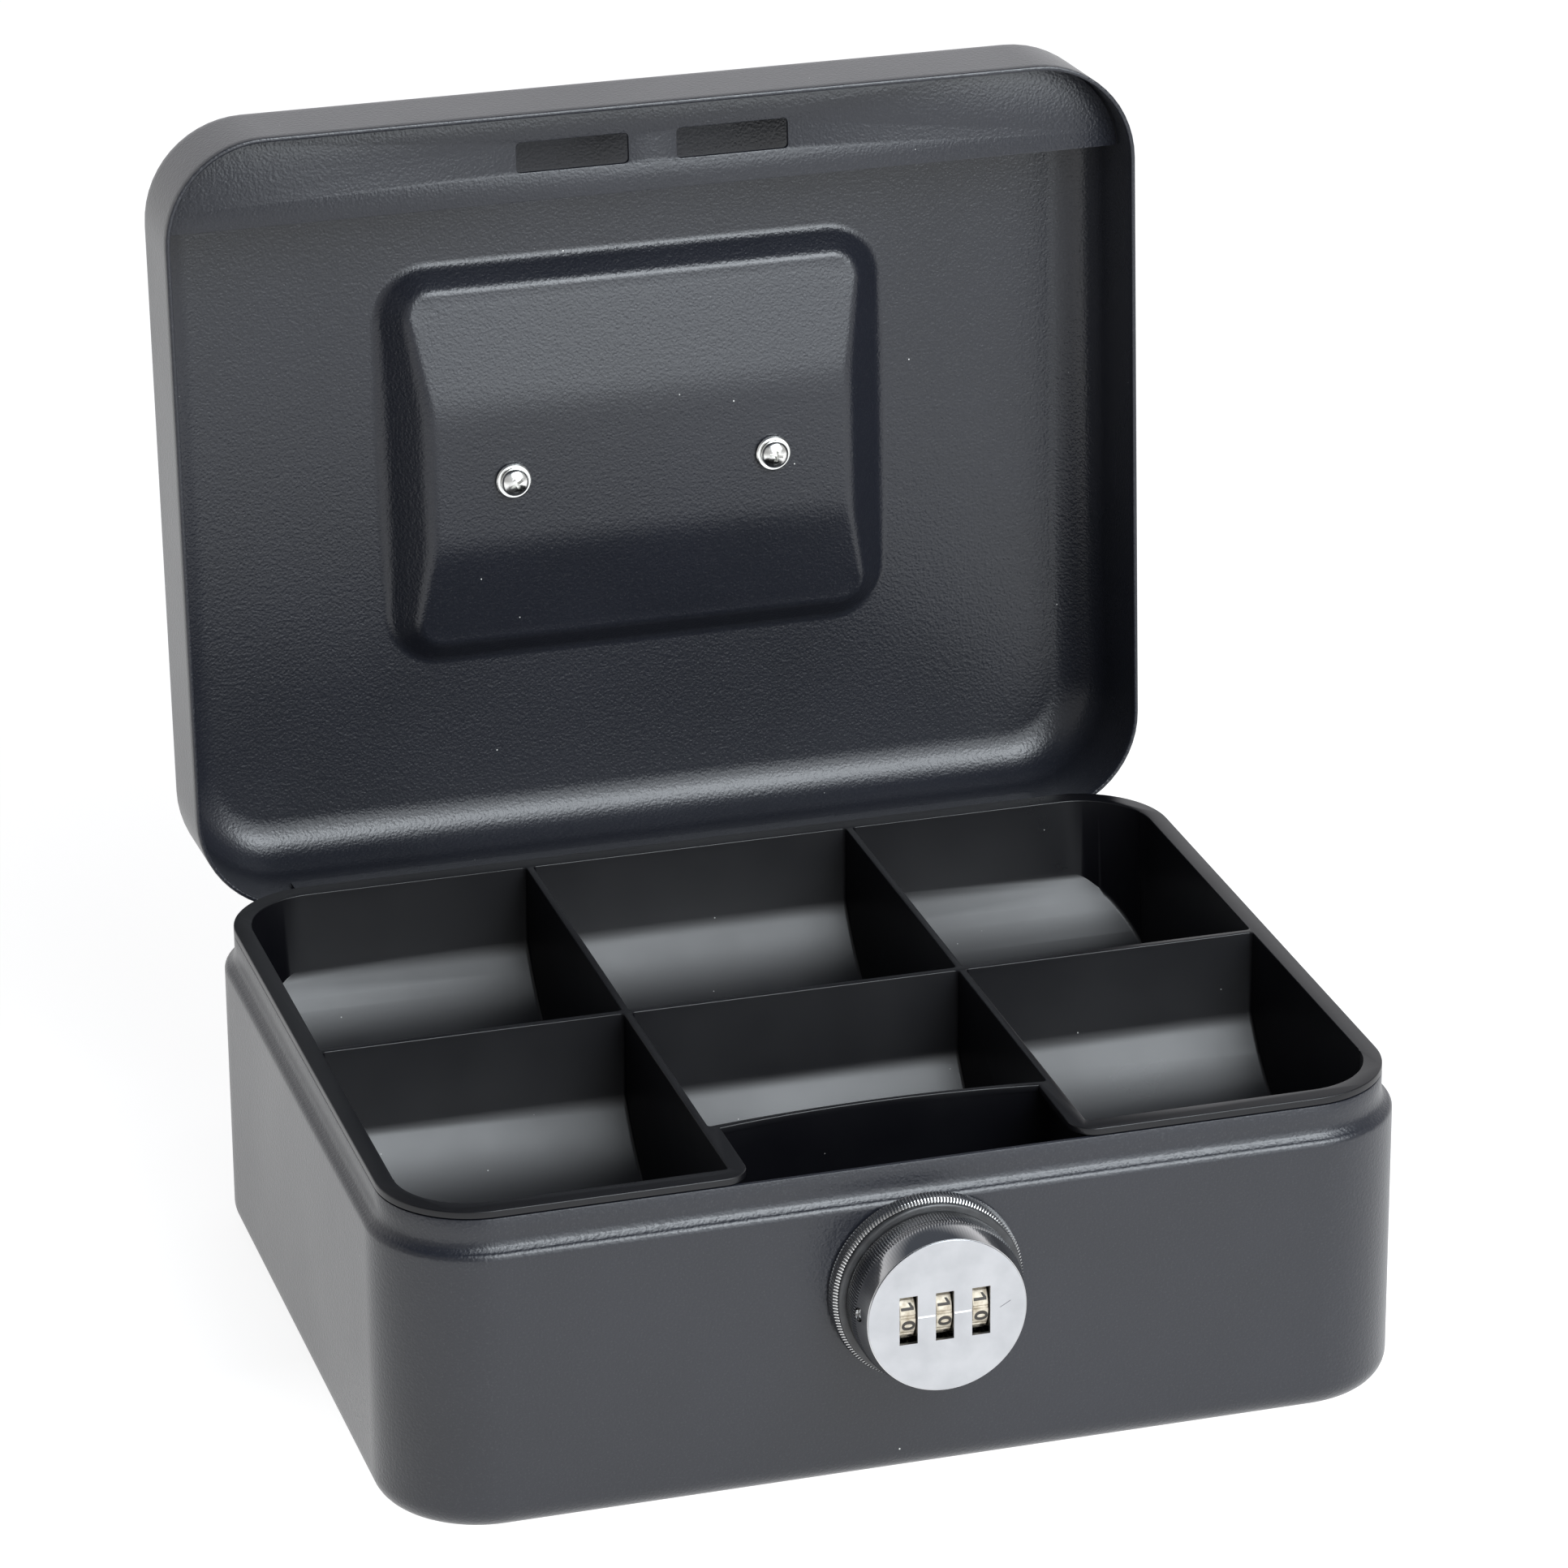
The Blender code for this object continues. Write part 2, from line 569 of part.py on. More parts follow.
def cam_fixing(carrier):
    washer_y = HOOK_Y[1] + GAP
    rear_y = washer_y + 0.8
    profile = [(2.3, washer_y), (6.0, washer_y), (6.0, rear_y), (2.3, rear_y)]
    washer = lathe("cam_washer", profile, steps=24)
    finish(washer, zinc(), carrier)
    head_y = rear_y + GAP
    screw = lathe("cam_screw", [
        (0, head_y - 8.0), (1.9, head_y - 8.0), (1.9, head_y), (3.8, head_y), (3.8, head_y + 1.5),
        (2.6, head_y + 2.4), (0, head_y + 2.4),
    ], closed=False, steps=20)
    for wide, tall in ((4.0, 0.8), (0.8, 4.0)):
        low = (LOCK_X - wide / 2, head_y + 1.2, LOCK_Z - tall / 2)
        high = (LOCK_X + wide / 2, head_y + 4, LOCK_Z + tall / 2)
        combine(screw, block("driver", low, high))
    finish(screw, zinc(), carrier)


# ---- lid ----------------------------------------------------------------------------------------

def recess_depth(y):
    """Depth of the recess floor below the lid's top: a flat middle with a slope up to each end."""
    fold_front, fold_rear = RECESS_FOLDS
    _, front, rear, _ = RECESS_MOUTH
    wall = RECESS_SLOPE * RECESS_SHALLOW
    rise = RECESS_DEEP - RECESS_SHALLOW
    past_front = (fold_front - y) / (fold_front - front - wall)
    past_rear = (y - fold_rear) / (rear - wall - fold_rear)
    return RECESS_DEEP - rise * min(max(past_front, past_rear, 0.0), 1.0)


def recess_rings(grow, drop):
    """Rings from the floor of the recess up to its mouth; grow and drop give the sheet's underside."""
    half_x, low, high, radius = RECESS_MOUTH
    mouth = rounded(half_x + grow, low - grow, high + grow, radius + grow, RECESS_FOLDS)
    centres = rounded(half_x - radius, low + radius, high - radius, 0.0, RECESS_FOLDS)
    floor = []
    for (x, y), (centre_x, centre_y) in zip(mouth, centres):
        inward = Vector((centre_x - x, centre_y - y))
        if y in RECESS_FOLDS:
            inward.y = 0.0
        inward *= RECESS_SLOPE * recess_depth(y) / inward.length
        floor.append((x + inward.x, y + inward.y))
    rings = []
    for across, down in ((1.0, 1.0), *reversed(RECESS_WALL), (0.0, 0.0)):
        ring = []
        for (x, y), (floor_x, floor_y) in zip(mouth, floor):
            z = LID_TOP_Z - drop - down * recess_depth(floor_y)
            ring.append((x + (floor_x - x) * across, y + (floor_y - y) * across, z))
        rings.append(ring)
    return rings


def lid_shell(carrier):
    edge_z, inner_r = LID_TOP_Z - LID_EDGE_R, LID_EDGE_R - SHEET
    walls = quarter(inner_r, LID_EDGE_R, edge_z, 90, 0, 5) + [(SHEET, LID_RIM_Z), (0.0, LID_RIM_Z)]
    walls += quarter(LID_EDGE_R, LID_EDGE_R, edge_z, 0, 90, 5)
    rings = recess_rings(0.8, SHEET)
    rings += [at_height(box_outline(inset, RECESS_FOLDS), z) for inset, z in walls]
    rings += reversed(recess_rings(0.0, 0.0))
    corners = 2 * (CORNER_STEPS + 1)
    left_rear, left_front, count = 2 + corners, 3 + corners, 4 + 2 * corners
    cap = [
        list(range(1, left_rear + 1)),
        [0, 1, left_rear, left_front],
        list(range(left_front, count)) + [0],
    ]
    shell = loft("lid_shell", rings, cap, cap)
    for side in (-1, 1):
        combine(shell, rod("hole", "z", (side * POST_X, POST_Y), SCREW_R + 0.35, 70, 80, 16))
    half = HINGE_LENGTH / 2 + 0.6
    low = (-half, DEPTH / 2 - SHEET - 1, LID_RIM_Z - 1)
    combine(shell, block("relief", low, (half, DEPTH / 2 + 1, HINGE_WINDOW_Z[1])))
    return finish(shell, powder_coat(), carrier)


def strike_plate(carrier):
    """A plate across the front of the lid with two slots for the hook and a flange up the front wall."""
    inset, top_z = SHEET + GAP, STRIKE_Z + SHEET
    front_y, rear_y = inset - DEPTH / 2, STRIKE_DEPTH - DEPTH / 2
    plate = prism("strike_plate", box_outline(inset), "z", STRIKE_Z, top_z)
    low, high = (-WIDTH, -DEPTH, STRIKE_Z - 1), (WIDTH, rear_y, top_z + 1)
    combine(plate, block("front", low, high), "INTERSECT")
    flange_x = WIDTH / 2 - CORNER_R - 3
    low, high = (-flange_x, front_y, top_z - 0.4), (flange_x, front_y + SHEET, top_z + STRIKE_FLANGE_H)
    combine(plate, block("flange", low, high), "UNION")
    low_y, high_y = STRIKE_SLOT_Y
    for side in (-1, 1):
        near, far = STRIKE_SLOT_X
        middle = LOCK_X + side * (near + far) / 2
        slot = [(middle + x, y) for x, y in rounded((far - near) / 2, low_y, high_y, STRIKE_SLOT_R, steps=3)]
        combine(plate, prism("slot", slot, "z", STRIKE_Z - 1, top_z + 1))
    return finish(plate, powder_coat(), carrier)


# ---- handle -------------------------------------------------------------------------------------

def handle_fixings(carrier):
    """On each side a post on the recess floor, with the screw and washer that hold it from inside."""
    floor_z = LID_TOP_Z - RECESS_DEEP
    under_z = floor_z - SHEET
    half_x, half_y = POST_SIZE
    for side, label in ((-1, "left"), (1, "right")):
        x = side * POST_X
        levels = ((0.0, floor_z + GAP), (0.0, POST_TOP_Z - 1.2), (0.35, POST_TOP_Z - 0.35), (1.2, POST_TOP_Z))
        rings = []
        for inset, z in levels:
            ring = rounded(half_x - inset, inset - half_y, half_y - inset, 2.6 - inset, steps=4)
            rings.append([(x + u, POST_Y + v, z) for u, v in ring])
        cap = [list(range(len(rings[0])))]
        post = loft("handle_post_" + label, rings, cap, cap)
        combine(post, rod("tapped", "z", (x, POST_Y), SCREW_R + GAP, floor_z - 1, floor_z + 5.0, 16))
        low_x, high_x = sorted((x + side * 2.2, x + side * (half_x + 1)))
        combine(post, rod("eye", "x", (POST_Y, BAIL_Z), BAIL_PIN_R + 0.2, low_x, high_x, 16))
        finish(post, chrome(), carrier)
        washer_z = under_z - GAP
        washer = prism("handle_washer_" + label, arc((x, POST_Y), SCREW_WASHER_R, 0, 360, 24)[:-1], "z",
                       washer_z - 0.8, washer_z)
        combine(washer, rod("bore", "z", (x, POST_Y), SCREW_R + GAP, washer_z - 2, washer_z + 1, 16))
        finish(washer, zinc(), carrier)
        finish(handle_screw("handle_screw_" + label, x, washer_z - 0.8 - GAP), zinc(), carrier)


def handle_screw(name, x, seat_z):
    """A pan head below the seat, a shank above it and a cross recess in the head."""
    head = ((1.6, -1.9), (2.5, -1.5), (SCREW_HEAD_R, -0.7), (SCREW_HEAD_R, 0.0))
    levels = head + ((SCREW_R, 0.0), (SCREW_R, 6.6))
    rings = []
    for radius, rise in levels:
        rings.append([(u, v, seat_z + rise) for u, v in arc((x, POST_Y), radius, 0, 360, 20)[:-1]])
    cap = [list(range(20))]
    screw = loft(name, rings, cap, cap)
    for wide, deep in ((3.2, 0.7), (0.7, 3.2)):
        low = (x - wide / 2, POST_Y - deep / 2, seat_z - 3)
        high = (x + wide / 2, POST_Y + deep / 2, seat_z - 0.9)
        combine(screw, block("driver", low, high))
    return screw


def carry_handle(carrier):
    """A bail of round rod, thinned where its ends turn into the posts."""
    end_x = POST_X + POST_SIZE[0]
    grip_y = POST_Y + BAIL_REACH
    pin_r, rod_r = BAIL_PIN_R, BAIL_ROD_R
    half = [(end_x - 2.9, POST_Y, pin_r), (end_x + GAP, POST_Y, pin_r), (end_x + GAP + 0.01, POST_Y, rod_r)]
    foot = (BAIL_ARM_X - BAIL_FOOT_R, POST_Y + BAIL_FOOT_R)
    half += [(x, y, rod_r) for x, y in arc(foot, BAIL_FOOT_R, -90, 0, 4)]
    corner = (BAIL_ARM_X - BAIL_BEND_R, grip_y - BAIL_BEND_R)
    half += [(x, y, rod_r) for x, y in arc(corner, BAIL_BEND_R, 0, 90, 6)]
    whole = half + [(-x, y, r) for x, y, r in reversed(half)]
    bail = sweep("carry_handle", [(x, y, BAIL_Z) for x, y, _ in whole], [r for _, _, r in whole])
    return finish(bail, chrome(), carrier)


# ---- whole object -------------------------------------------------------------------------------

def build():
    for old in list(bpy.data.objects):
        bpy.data.objects.remove(old)
    base_shell()
    hinge_leaf("hinge_leaf_base", -1, HINGE_LEAF_FOOT_Z, DEPTH / 2 - SHEET - GAP - HINGE_STRIP / 2, 0)
    hinge_pin()
    lock_mounting()
    coin_tray(pivot("tray_lift", (0, 0, TRAY_TOP_Z)))
    knob = pivot("knob_axis", (LOCK_X, FACE_Y, LOCK_Z))
    knob_body(knob)
    face_plate(knob)
    dials(knob)
    knob_insides(knob)
    spindle(knob)
    hook_cam(knob)
    cam_fixing(knob)
    lid = pivot("lid_axis", (0, HINGE_Y, HINGE_Z), -LID_OPEN_DEG)
    lid_shell(lid)
    strike_plate(lid)
    hinge_leaf("hinge_leaf_lid", 1, HINGE_LEAF_TOP_Z, DEPTH / 2 - SHEET - GAP - HINGE_STRIP / 2, 1, lid)
    handle_fixings(lid)
    # The bail hangs straight down while the lid stands open
    carry_handle(pivot("handle_axis", (0, POST_Y, BAIL_Z), LID_OPEN_DEG - 90, lid))


build()
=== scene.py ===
"""Looks for the cash box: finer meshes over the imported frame, procedural materials, light and a camera.

Sizes are in millimetres and become metres as each mesh is made. The lid's pieces are drawn with the lid
closed and then turned to where they rest.
"""

import math

import bmesh
import bpy
from mathutils import Matrix, Vector


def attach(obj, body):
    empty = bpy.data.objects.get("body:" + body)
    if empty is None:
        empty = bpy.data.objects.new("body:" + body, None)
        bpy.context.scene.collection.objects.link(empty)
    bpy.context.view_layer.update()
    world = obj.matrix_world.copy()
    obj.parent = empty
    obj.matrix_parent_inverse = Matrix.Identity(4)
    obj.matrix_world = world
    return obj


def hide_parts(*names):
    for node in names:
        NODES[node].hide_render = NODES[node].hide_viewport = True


MM = 0.001
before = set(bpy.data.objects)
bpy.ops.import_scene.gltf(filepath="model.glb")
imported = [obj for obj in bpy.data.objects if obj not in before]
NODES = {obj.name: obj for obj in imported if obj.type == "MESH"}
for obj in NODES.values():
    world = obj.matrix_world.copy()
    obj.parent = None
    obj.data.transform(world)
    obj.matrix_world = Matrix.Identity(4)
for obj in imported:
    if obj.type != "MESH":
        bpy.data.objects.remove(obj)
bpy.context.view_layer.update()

# Box. An inset is measured inwards from the outside of the walls
WIDTH = 200.0
DEPTH = 160.0
CORNER_R = 20.7
SHEET = 0.9
BOTTOM_R = 5.0
WALL_ZS = (6.0, 30.0, 54.5)
SHOULDER_R = 1.5
SHOULDER_Z = 55.7
OGEE_CENTRE = (0.95, 59.4)
OGEE_RADII = (1.15, 2.05)
# (inset, height) down the inside of the shoulder
SHOULDER_INSIDE = (
    (3.0, 59.3), (2.9, 58.4), (2.6, 57.4), (2.0, 56.75), (1.3, 56.35), (1.0, 56.1), (SHEET, 55.6),
)
NECK_INSET = 2.1
NECK_TOP_Z = 63.4
LID_RIM_Z = 57.5
LID_WALL_Z = 60.0
LID_TOP_Z = 85.6
LID_EDGE_R = 8.2
LID_INNER_R = 9.4
LID_PIVOT = (0.0, 81.5, 57.0)
LID_OPEN_DEG = 93.0
HINGE_LENGTH = 158.5
HINGE_SLACK = 0.6
HINGE_WINDOW_Z = (55.3, 58.7)

# Points round the lid: steps in a corner, and extra points along a straight side as fractions of it
LID_CORNER_STEPS = 14
LID_STOPS = (0.012, *[k / 26 for k in range(1, 26)], 0.988)

# Handle recess in the lid's top. Mouth: half width, front, rear, corner radius. The sheet makes it wider
# on the lid's inside by RECESS_UNDER_GROW
RECESS_MOUTH = (52.0, -43.0, 39.0, 10.0)
RECESS_FOLDS = (-15.0, 14.5)
RECESS_DEEP = 8.1
RECESS_SHALLOW = 4.6
RECESS_SLOPE = 1.02
RECESS_UNDER_GROW = 0.8
RECESS_RINGS = 22

# How far the recess's creases are rounded, as parts of a slope's width
RECESS_FOLD_ROUND = 0.14
RECESS_WALL_ROUND = 0.22
RECESS_SPREAD = 0.24

# Strike plate. The slots' X is measured from the lock's middle
STRIKE_Z = 65.45
STRIKE_DEPTH = 19.8
STRIKE_FLANGE_H = 6.0
STRIKE_SLOT_X = (5.0, 28.1)
STRIKE_SLOT_Y = (-72.3, -66.1)
STRIKE_SLOT_R = 0.9

# Coin tray
TRAY_TOP_Z = 65.0
TRAY_FOOT_Z = 20.0
TRAY_CUT_Z = (10.0, 80.0)
TRAY_FLANGE = 1.3
TRAY_WALL = 1.4
TRAY_INSIDE = (94.3, 73.8)
TRAY_INSIDE_R = 14.6
TRAY_DIVIDER = 1.5
TRAY_DIVIDER_X = 33.9
TRAY_DIVIDER_Y = -0.6
SCOOP_R = 42.2
SCOOP_AXIS_Z = 69.8
TRAY_NOTCH_X = 31.2
TRAY_NOTCH_Y = -56.4
TRAY_NOTCH_BOW = 2.4
TRAY_NOTCH_WALL = 1.0
TRAY_NOTCH_R = 5.0
TRAY_CELL_ROUND = 0.7
TRAY_RIM_ROUND = 0.2

# Lock. Y falls from the bush's end behind the wall to the face in front. Window and wheel slot: width
# and height. Setting pin: Y and Z
LOCK_X = 1.0
LOCK_Z = 39.5
WALL_HOLE_R = 9.1
BUSH_R = 8.7
BUSH_BORE_R = 6.0
BUSH_END_Y = -71.0
COLLAR_R = 18.8
COLLAR_BACK_Y = -80.3
COLLAR_SEAT_Y = -80.9
COLLAR_FRONT_Y = -83.4
RING_R = 17.9
RING_ROUND = 0.57
RING_MIDDLE_Y = -84.02
KNOB_R = 16.6
KNOB_BACK_Y = -84.9
HUB_R = 15.0
HUB_BACK_Y = -82.0
RIM_R = 15.35
FACE_R = 14.6
FACE_DISC_R = 15.25
FACE_Y = -94.4
WINDOW = (3.5, 9.7)
WHEEL_SLOT = (3.7, 12.6)
WHEEL_SLOT_END_Y = -81.0
SETTING_PIN = (-91.0, LOCK_Z + 0.9)
SETTING_PIN_R = 1.05
SETTING_PIN_HOLE_R = 1.35

# Knurls: teeth all round, and the share of a cut's depth at the four points of a tooth
TEETH = 180
TOOTH = (0.0, 0.0, 0.5, 1.0)

# Number wheels
DIAL_R = 5.9
DIAL_Y = FACE_Y + 0.4 + DIAL_R
DIAL_WIDTH = 3.1
DIAL_CHAMFER = 0.15
DIAL_BORE_R = 1.25
DIAL_POINTS = 400
DIAL_TURN_DEG = -13.0
DIAL_XS = (LOCK_X - 7.5, LOCK_X - 0.5, LOCK_X + 6.5)
NUMERAL_WIDE = 4.4
NUMERAL_TALL = 3.4
NUMERAL_PROUD = 2.0

# The numeral 1, about one unit high
ONE_OUTLINE = ((0.0, -0.36), (0.13, -0.36), (0.13, 0.36), (0.0, 0.36), (-0.2, 0.2), (-0.2, 0.06), (0.0, 0.18))

# Handle, its posts and their screws. Post: X and Y of its middle, and half its size
POST = (27.5, 0.5)
POST_HALF = (5.5, 4.5)
POST_CORNER_R = 2.6
POST_EDGE_R = 1.2
POST_EDGE_Z = 83.2
POST_EYE_R = 1.7
BAIL_Z = 81.5
BAIL_ARM_X = 36.2
BAIL_REACH = 27.0
BAIL_ROD_R = 2.2
BAIL_PIN_R = 1.5
BAIL_FOOT_R = 2.4
BAIL_BEND_R = 7.0
SCREW_R = 1.45
SCREW_LENGTH = 6.6
SCREW_BORE_R = 1.75
SCREW_HOLE_R = 1.8
SCREW_HEAD_R = 2.8
SCREW_DOME_H = 1.35
SCREW_BRIM_H = 0.55
SCREW_ARMS = (1.9, 1.35)
SCREW_ARM_HALF = 0.32
SCREW_WASHER_R = 3.65
SCREW_WASHER_H = 0.8
SEAT_GAP = 0.3

# Studio. Softboxes: azimuth to the right of the front, elevation, distance, width, height, watts
SOFTBOXES = (
    ("key_wide", 25.0, 44.0, 800.0, 760.0, 760.0, 6.6),
    ("key_core", 25.0, 43.0, 790.0, 420.0, 380.0, 4.0),
    ("fill", 16.0, 8.0, 1500.0, 900.0, 400.0, 4.2),
)
FLOOR_HALF = 12000.0
FLOOR_Z = -0.05
FLOOR_GLOW = 0.86
# Painted light: the floor glows brighter by this much just in front of the box, and fainter by this share
# further out
FLOOR_PAINTED_POOL_GLOW = 1.17
FLOOR_PAINTED_FALLOFF = 0.62
LAMP_TINT = (0.94, 1.0, 1.05)
LAMP_TARGET = (0.0, 0.0, 90.0)
WORLD_GLOW = 1.0

# Painted light on the floor: where its glow grows into a painted pool of light just in front of the box, and
# where it fades further out, in metres
FLOOR_PAINTED_POOL_Y = (-0.12, 0.0)
FLOOR_PAINTED_FALLOFF_Y = (-0.50, -0.20)

# Camera: azimuth, elevation and roll in degrees
CAMERA_TURNS = (-16.41, 22.42, -0.48)
CAMERA_TARGET = (-1.65, 0.0, 108.2)
CAMERA_DISTANCE = 1292.5
CAMERA_LENS = 154.6
CAMERA_SENSOR = 36.0

AT_REST = Matrix.Identity(4)


def turned(point, degrees):
    """A turn about a line along X through the point, in millimetres."""
    centre = Matrix.Translation(Vector(point))
    return centre @ Matrix.Rotation(math.radians(degrees), 4, "X") @ centre.inverted()


LID_OPEN = turned(LID_PIVOT, -LID_OPEN_DEG)
HANDLE_DOWN = LID_OPEN @ turned((0.0, POST[1], BAIL_Z), LID_OPEN_DEG - 90.0)


# ---- shapes -------------------------------------------------------------------------------------

def new_object(name, points, faces):
    mesh = bpy.data.meshes.new(name)
    mesh.from_pydata([Vector(p) for p in points], [], faces)
    shape = bmesh.new()
    shape.from_mesh(mesh)
    bmesh.ops.recalc_face_normals(shape, faces=shape.faces)
    shape.to_mesh(mesh)
    shape.free()
    obj = bpy.data.objects.new(name, mesh)
    bpy.context.scene.collection.objects.link(obj)
    return obj


def arc(centre, radius, start_deg, end_deg, steps):
    angles = [math.radians(start_deg + (end_deg - start_deg) * k / steps) for k in range(steps + 1)]
    return [(centre[0] + radius * math.cos(a), centre[1] + radius * math.sin(a)) for a in angles]


def rounded(half_x, low_y, high_y, radius, steps=16, stops=()):
    """Anticlockwise rounded rectangle. stops are fractions along each straight side for extra points."""
    x, low, high = half_x - radius, low_y + radius, high_y - radius
    points = [(half_x, low + (high - low) * s) for s in stops]
    points += arc((x, high), radius, 0, 90, steps)
    points += [(x - 2 * x * s, high_y) for s in stops]
    points += arc((-x, high), radius, 90, 180, steps)
    points += [(-half_x, high - (high - low) * s) for s in stops]
    points += arc((-x, low), radius, 180, 270, steps)
    points += [(2 * x * s - x, low_y) for s in stops]
    return points + arc((x, low), radius, 270, 360, steps)


def box_outline(inset, steps=20, stops=(0.01, 0.5, 0.99)):
    return rounded(WIDTH / 2 - inset, inset - DEPTH / 2, DEPTH / 2 - inset, CORNER_R - inset, steps, stops)


def loft(name, rings):
    """Skin over rings of equally many points, closed by a flat face at each end."""
    count = len(rings[0])
    points = [p for ring in rings for p in ring]
    faces = [list(range(count)), [i + (len(rings) - 1) * count for i in range(count)]]
    for k in range(len(rings) - 1):
        for i in range(count):
            j = (i + 1) % count
            faces.append((k * count + i, k * count + j, (k + 1) * count + j, (k + 1) * count + i))
    return new_object(name, points, faces)


def along(axis, u, v, w):
    """A point that lies at w along the axis and at (u, v) across it."""
    return {"x": (w, u, v), "y": (u, w, v), "z": (u, v, w)}[axis]


def prism(name, outline, axis, low, high):
    """The outline extruded along an axis. It holds (y, z) along x, (x, z) along y and (x, y) along z."""
    return loft(name, [[along(axis, u, v, w) for u, v in outline] for w in (low, high)])


def block(name, low, high):
    outline = [(low[0], low[1]), (high[0], low[1]), (high[0], high[1]), (low[0], high[1])]
    return prism(name, outline, "z", low[2], high[2])


def rod(name, axis, centre, radius, low, high, steps=32):
    return prism(name, arc(centre, radius, 0, 360, steps)[:-1], axis, low, high)


def lathe(name, profile, steps=96, teeth=0, centre=(LOCK_X, LOCK_Z), axis="y"):
    """A profile of (radius, place, tooth depth) turned about an axis, with a flat cap at each end."""
    count = len(TOOTH) * teeth or steps
    rings = []
    for radius, place, depth in profile:
        ring = []
        for k in range(count):
            angle = math.tau * k / count
            here = radius - depth * TOOTH[k % len(TOOTH)] if teeth else radius
            u, v = centre[0] + here * math.cos(angle), centre[1] + here * math.sin(angle)
            ring.append(along(axis, u, v, place))
        rings.append(ring)
    return loft(name, rings)


def lathe_tube(name, profile, teeth=0, steps=96):
    """As lathe(), for a profile that closes on itself away from the axis."""
    made = lathe(name, profile + profile[:1], steps, teeth)
    shape = bmesh.new()
    shape.from_mesh(made.data)
    caps = [face for face in shape.faces if len(face.verts) > 4]
    bmesh.ops.delete(shape, geom=caps, context="FACES_ONLY")
    bmesh.ops.remove_doubles(shape, verts=shape.verts, dist=1e-4)
    bmesh.ops.recalc_face_normals(shape, faces=shape.faces)
    shape.to_mesh(made.data)
    shape.free()
    return made


def sweep(name, path, radii, sides=28):
    """A round rod along a level path, with its radius at each point."""
    rings = []
    for k, here in enumerate(path):
        ahead, behind = path[min(k + 1, len(path) - 1)], path[max(k - 1, 0)]
        across = (Vector(ahead) - Vector(behind)).normalized().cross(Vector((0, 0, 1)))
        rings.append([
            Vector(here) + across * u + Vector((0, 0, v))
            for u, v in arc((0, 0), radii[k], 0, 360, sides)[:-1]
        ])
    return loft(name, rings)


def combine(obj, other, operation="DIFFERENCE"):
    """Cuts the other shape from this one, or joins or keeps what both hold, and deletes the other."""
    modifier = obj.modifiers.new(operation, "BOOLEAN")
    modifier.operation = operation
    modifier.object = other
    apply_modifiers(obj)
    bpy.data.objects.remove(other)
    return obj


def apply_modifiers(obj):
    graph = bpy.context.evaluated_depsgraph_get()
    graph.update()
    result = bpy.data.meshes.new_from_object(obj.evaluated_get(graph))
    obj.modifiers.clear()
    obj.data = result
    return obj


def bevel(obj, width, degrees=35.0, segments=3):
    """Rounds every edge sharper than the angle."""
    modifier = obj.modifiers.new("round", "BEVEL")
    modifier.width = width
    modifier.segments = segments
    modifier.limit_method = "ANGLE"
    modifier.angle_limit = math.radians(degrees)
    modifier.use_clamp_overlap = False
    return apply_modifiers(obj)


def bevel_level(obj, z, width, segments=3):
    """Rounds the rims of the flat face that lies at height z."""
    shape = bmesh.new()
    shape.from_mesh(obj.data)
    edges = []
    for edge in shape.edges:
        level = all(abs(v.co.z - z) < 1e-3 for v in edge.verts)
        if level and len(edge.link_faces) == 2 and edge.calc_face_angle(0.0) > math.radians(60):
            edges.append(edge)
    bmesh.ops.bevel(shape, geom=edges, offset=width, segments=segments, profile=0.5, affect="EDGES")
    shape.to_mesh(obj.data)
    shape.free()
    return obj


def show(obj, look, body, replaces=(), place=AT_REST, sharp=35.0):
    """Puts a finished shape at rest in metres, gives it its material and makes it ride on its body."""
    obj.data.name = obj.name
    obj.data.transform(Matrix.Scale(MM, 4) @ place)
    obj.data.materials.clear()
    obj.data.materials.append(look)
    obj.data.shade_smooth()
    obj.data.set_sharp_from_angle(angle=math.radians(sharp))
    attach(obj, body)
    if replaces:
        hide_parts(*([replaces] if isinstance(replaces, str) else replaces))
    return obj


# ---- materials ----------------------------------------------------------------------------------

def shader(name, colour, roughness, metallic=0.0):
    """A material with its Principled node set up, and the object coordinates that its patterns read."""
    made = bpy.data.materials.new(name)
    made.use_nodes = True
    tree = made.node_tree
    principled = tree.nodes["Principled BSDF"]
    principled.inputs["Base Color"].default_value = (*colour, 1.0)
    principled.inputs["Roughness"].default_value = roughness
    principled.inputs["Metallic"].default_value = metallic
    coordinates = tree.nodes.new("ShaderNodeTexCoord").outputs["Object"]
    return made, tree, principled, coordinates


def noise(tree, coordinates, scale, detail):
    node = tree.nodes.new("ShaderNodeTexNoise")
    node.inputs["Scale"].default_value = scale
    node.inputs["Detail"].default_value = detail
    tree.links.new(coordinates, node.inputs["Vector"])
    return node.outputs["Fac"]


def cells(tree, coordinates, scale, feature="F1"):
    node = tree.nodes.new("ShaderNodeTexVoronoi")
    node.feature = feature
    node.inputs["Scale"].default_value = scale
    tree.links.new(coordinates, node.inputs["Vector"])
    return node.outputs["Distance"]


def remap(tree, value, from_low, from_high, to_low=0.0, to_high=1.0):
    node = tree.nodes.new("ShaderNodeMapRange")
    sockets = ("From Min", "From Max", "To Min", "To Max")
    for socket, number in zip(sockets, (from_low, from_high, to_low, to_high)):
        node.inputs[socket].default_value = number
    tree.links.new(value, node.inputs["Value"])
    return node.outputs["Result"]


def maths(tree, operation, a, b):
    node = tree.nodes.new("ShaderNodeMath")
    node.operation = operation
    for socket, value in zip(node.inputs, (a, b)):
        tree.links.new(value, socket)
    return node.outputs["Value"]


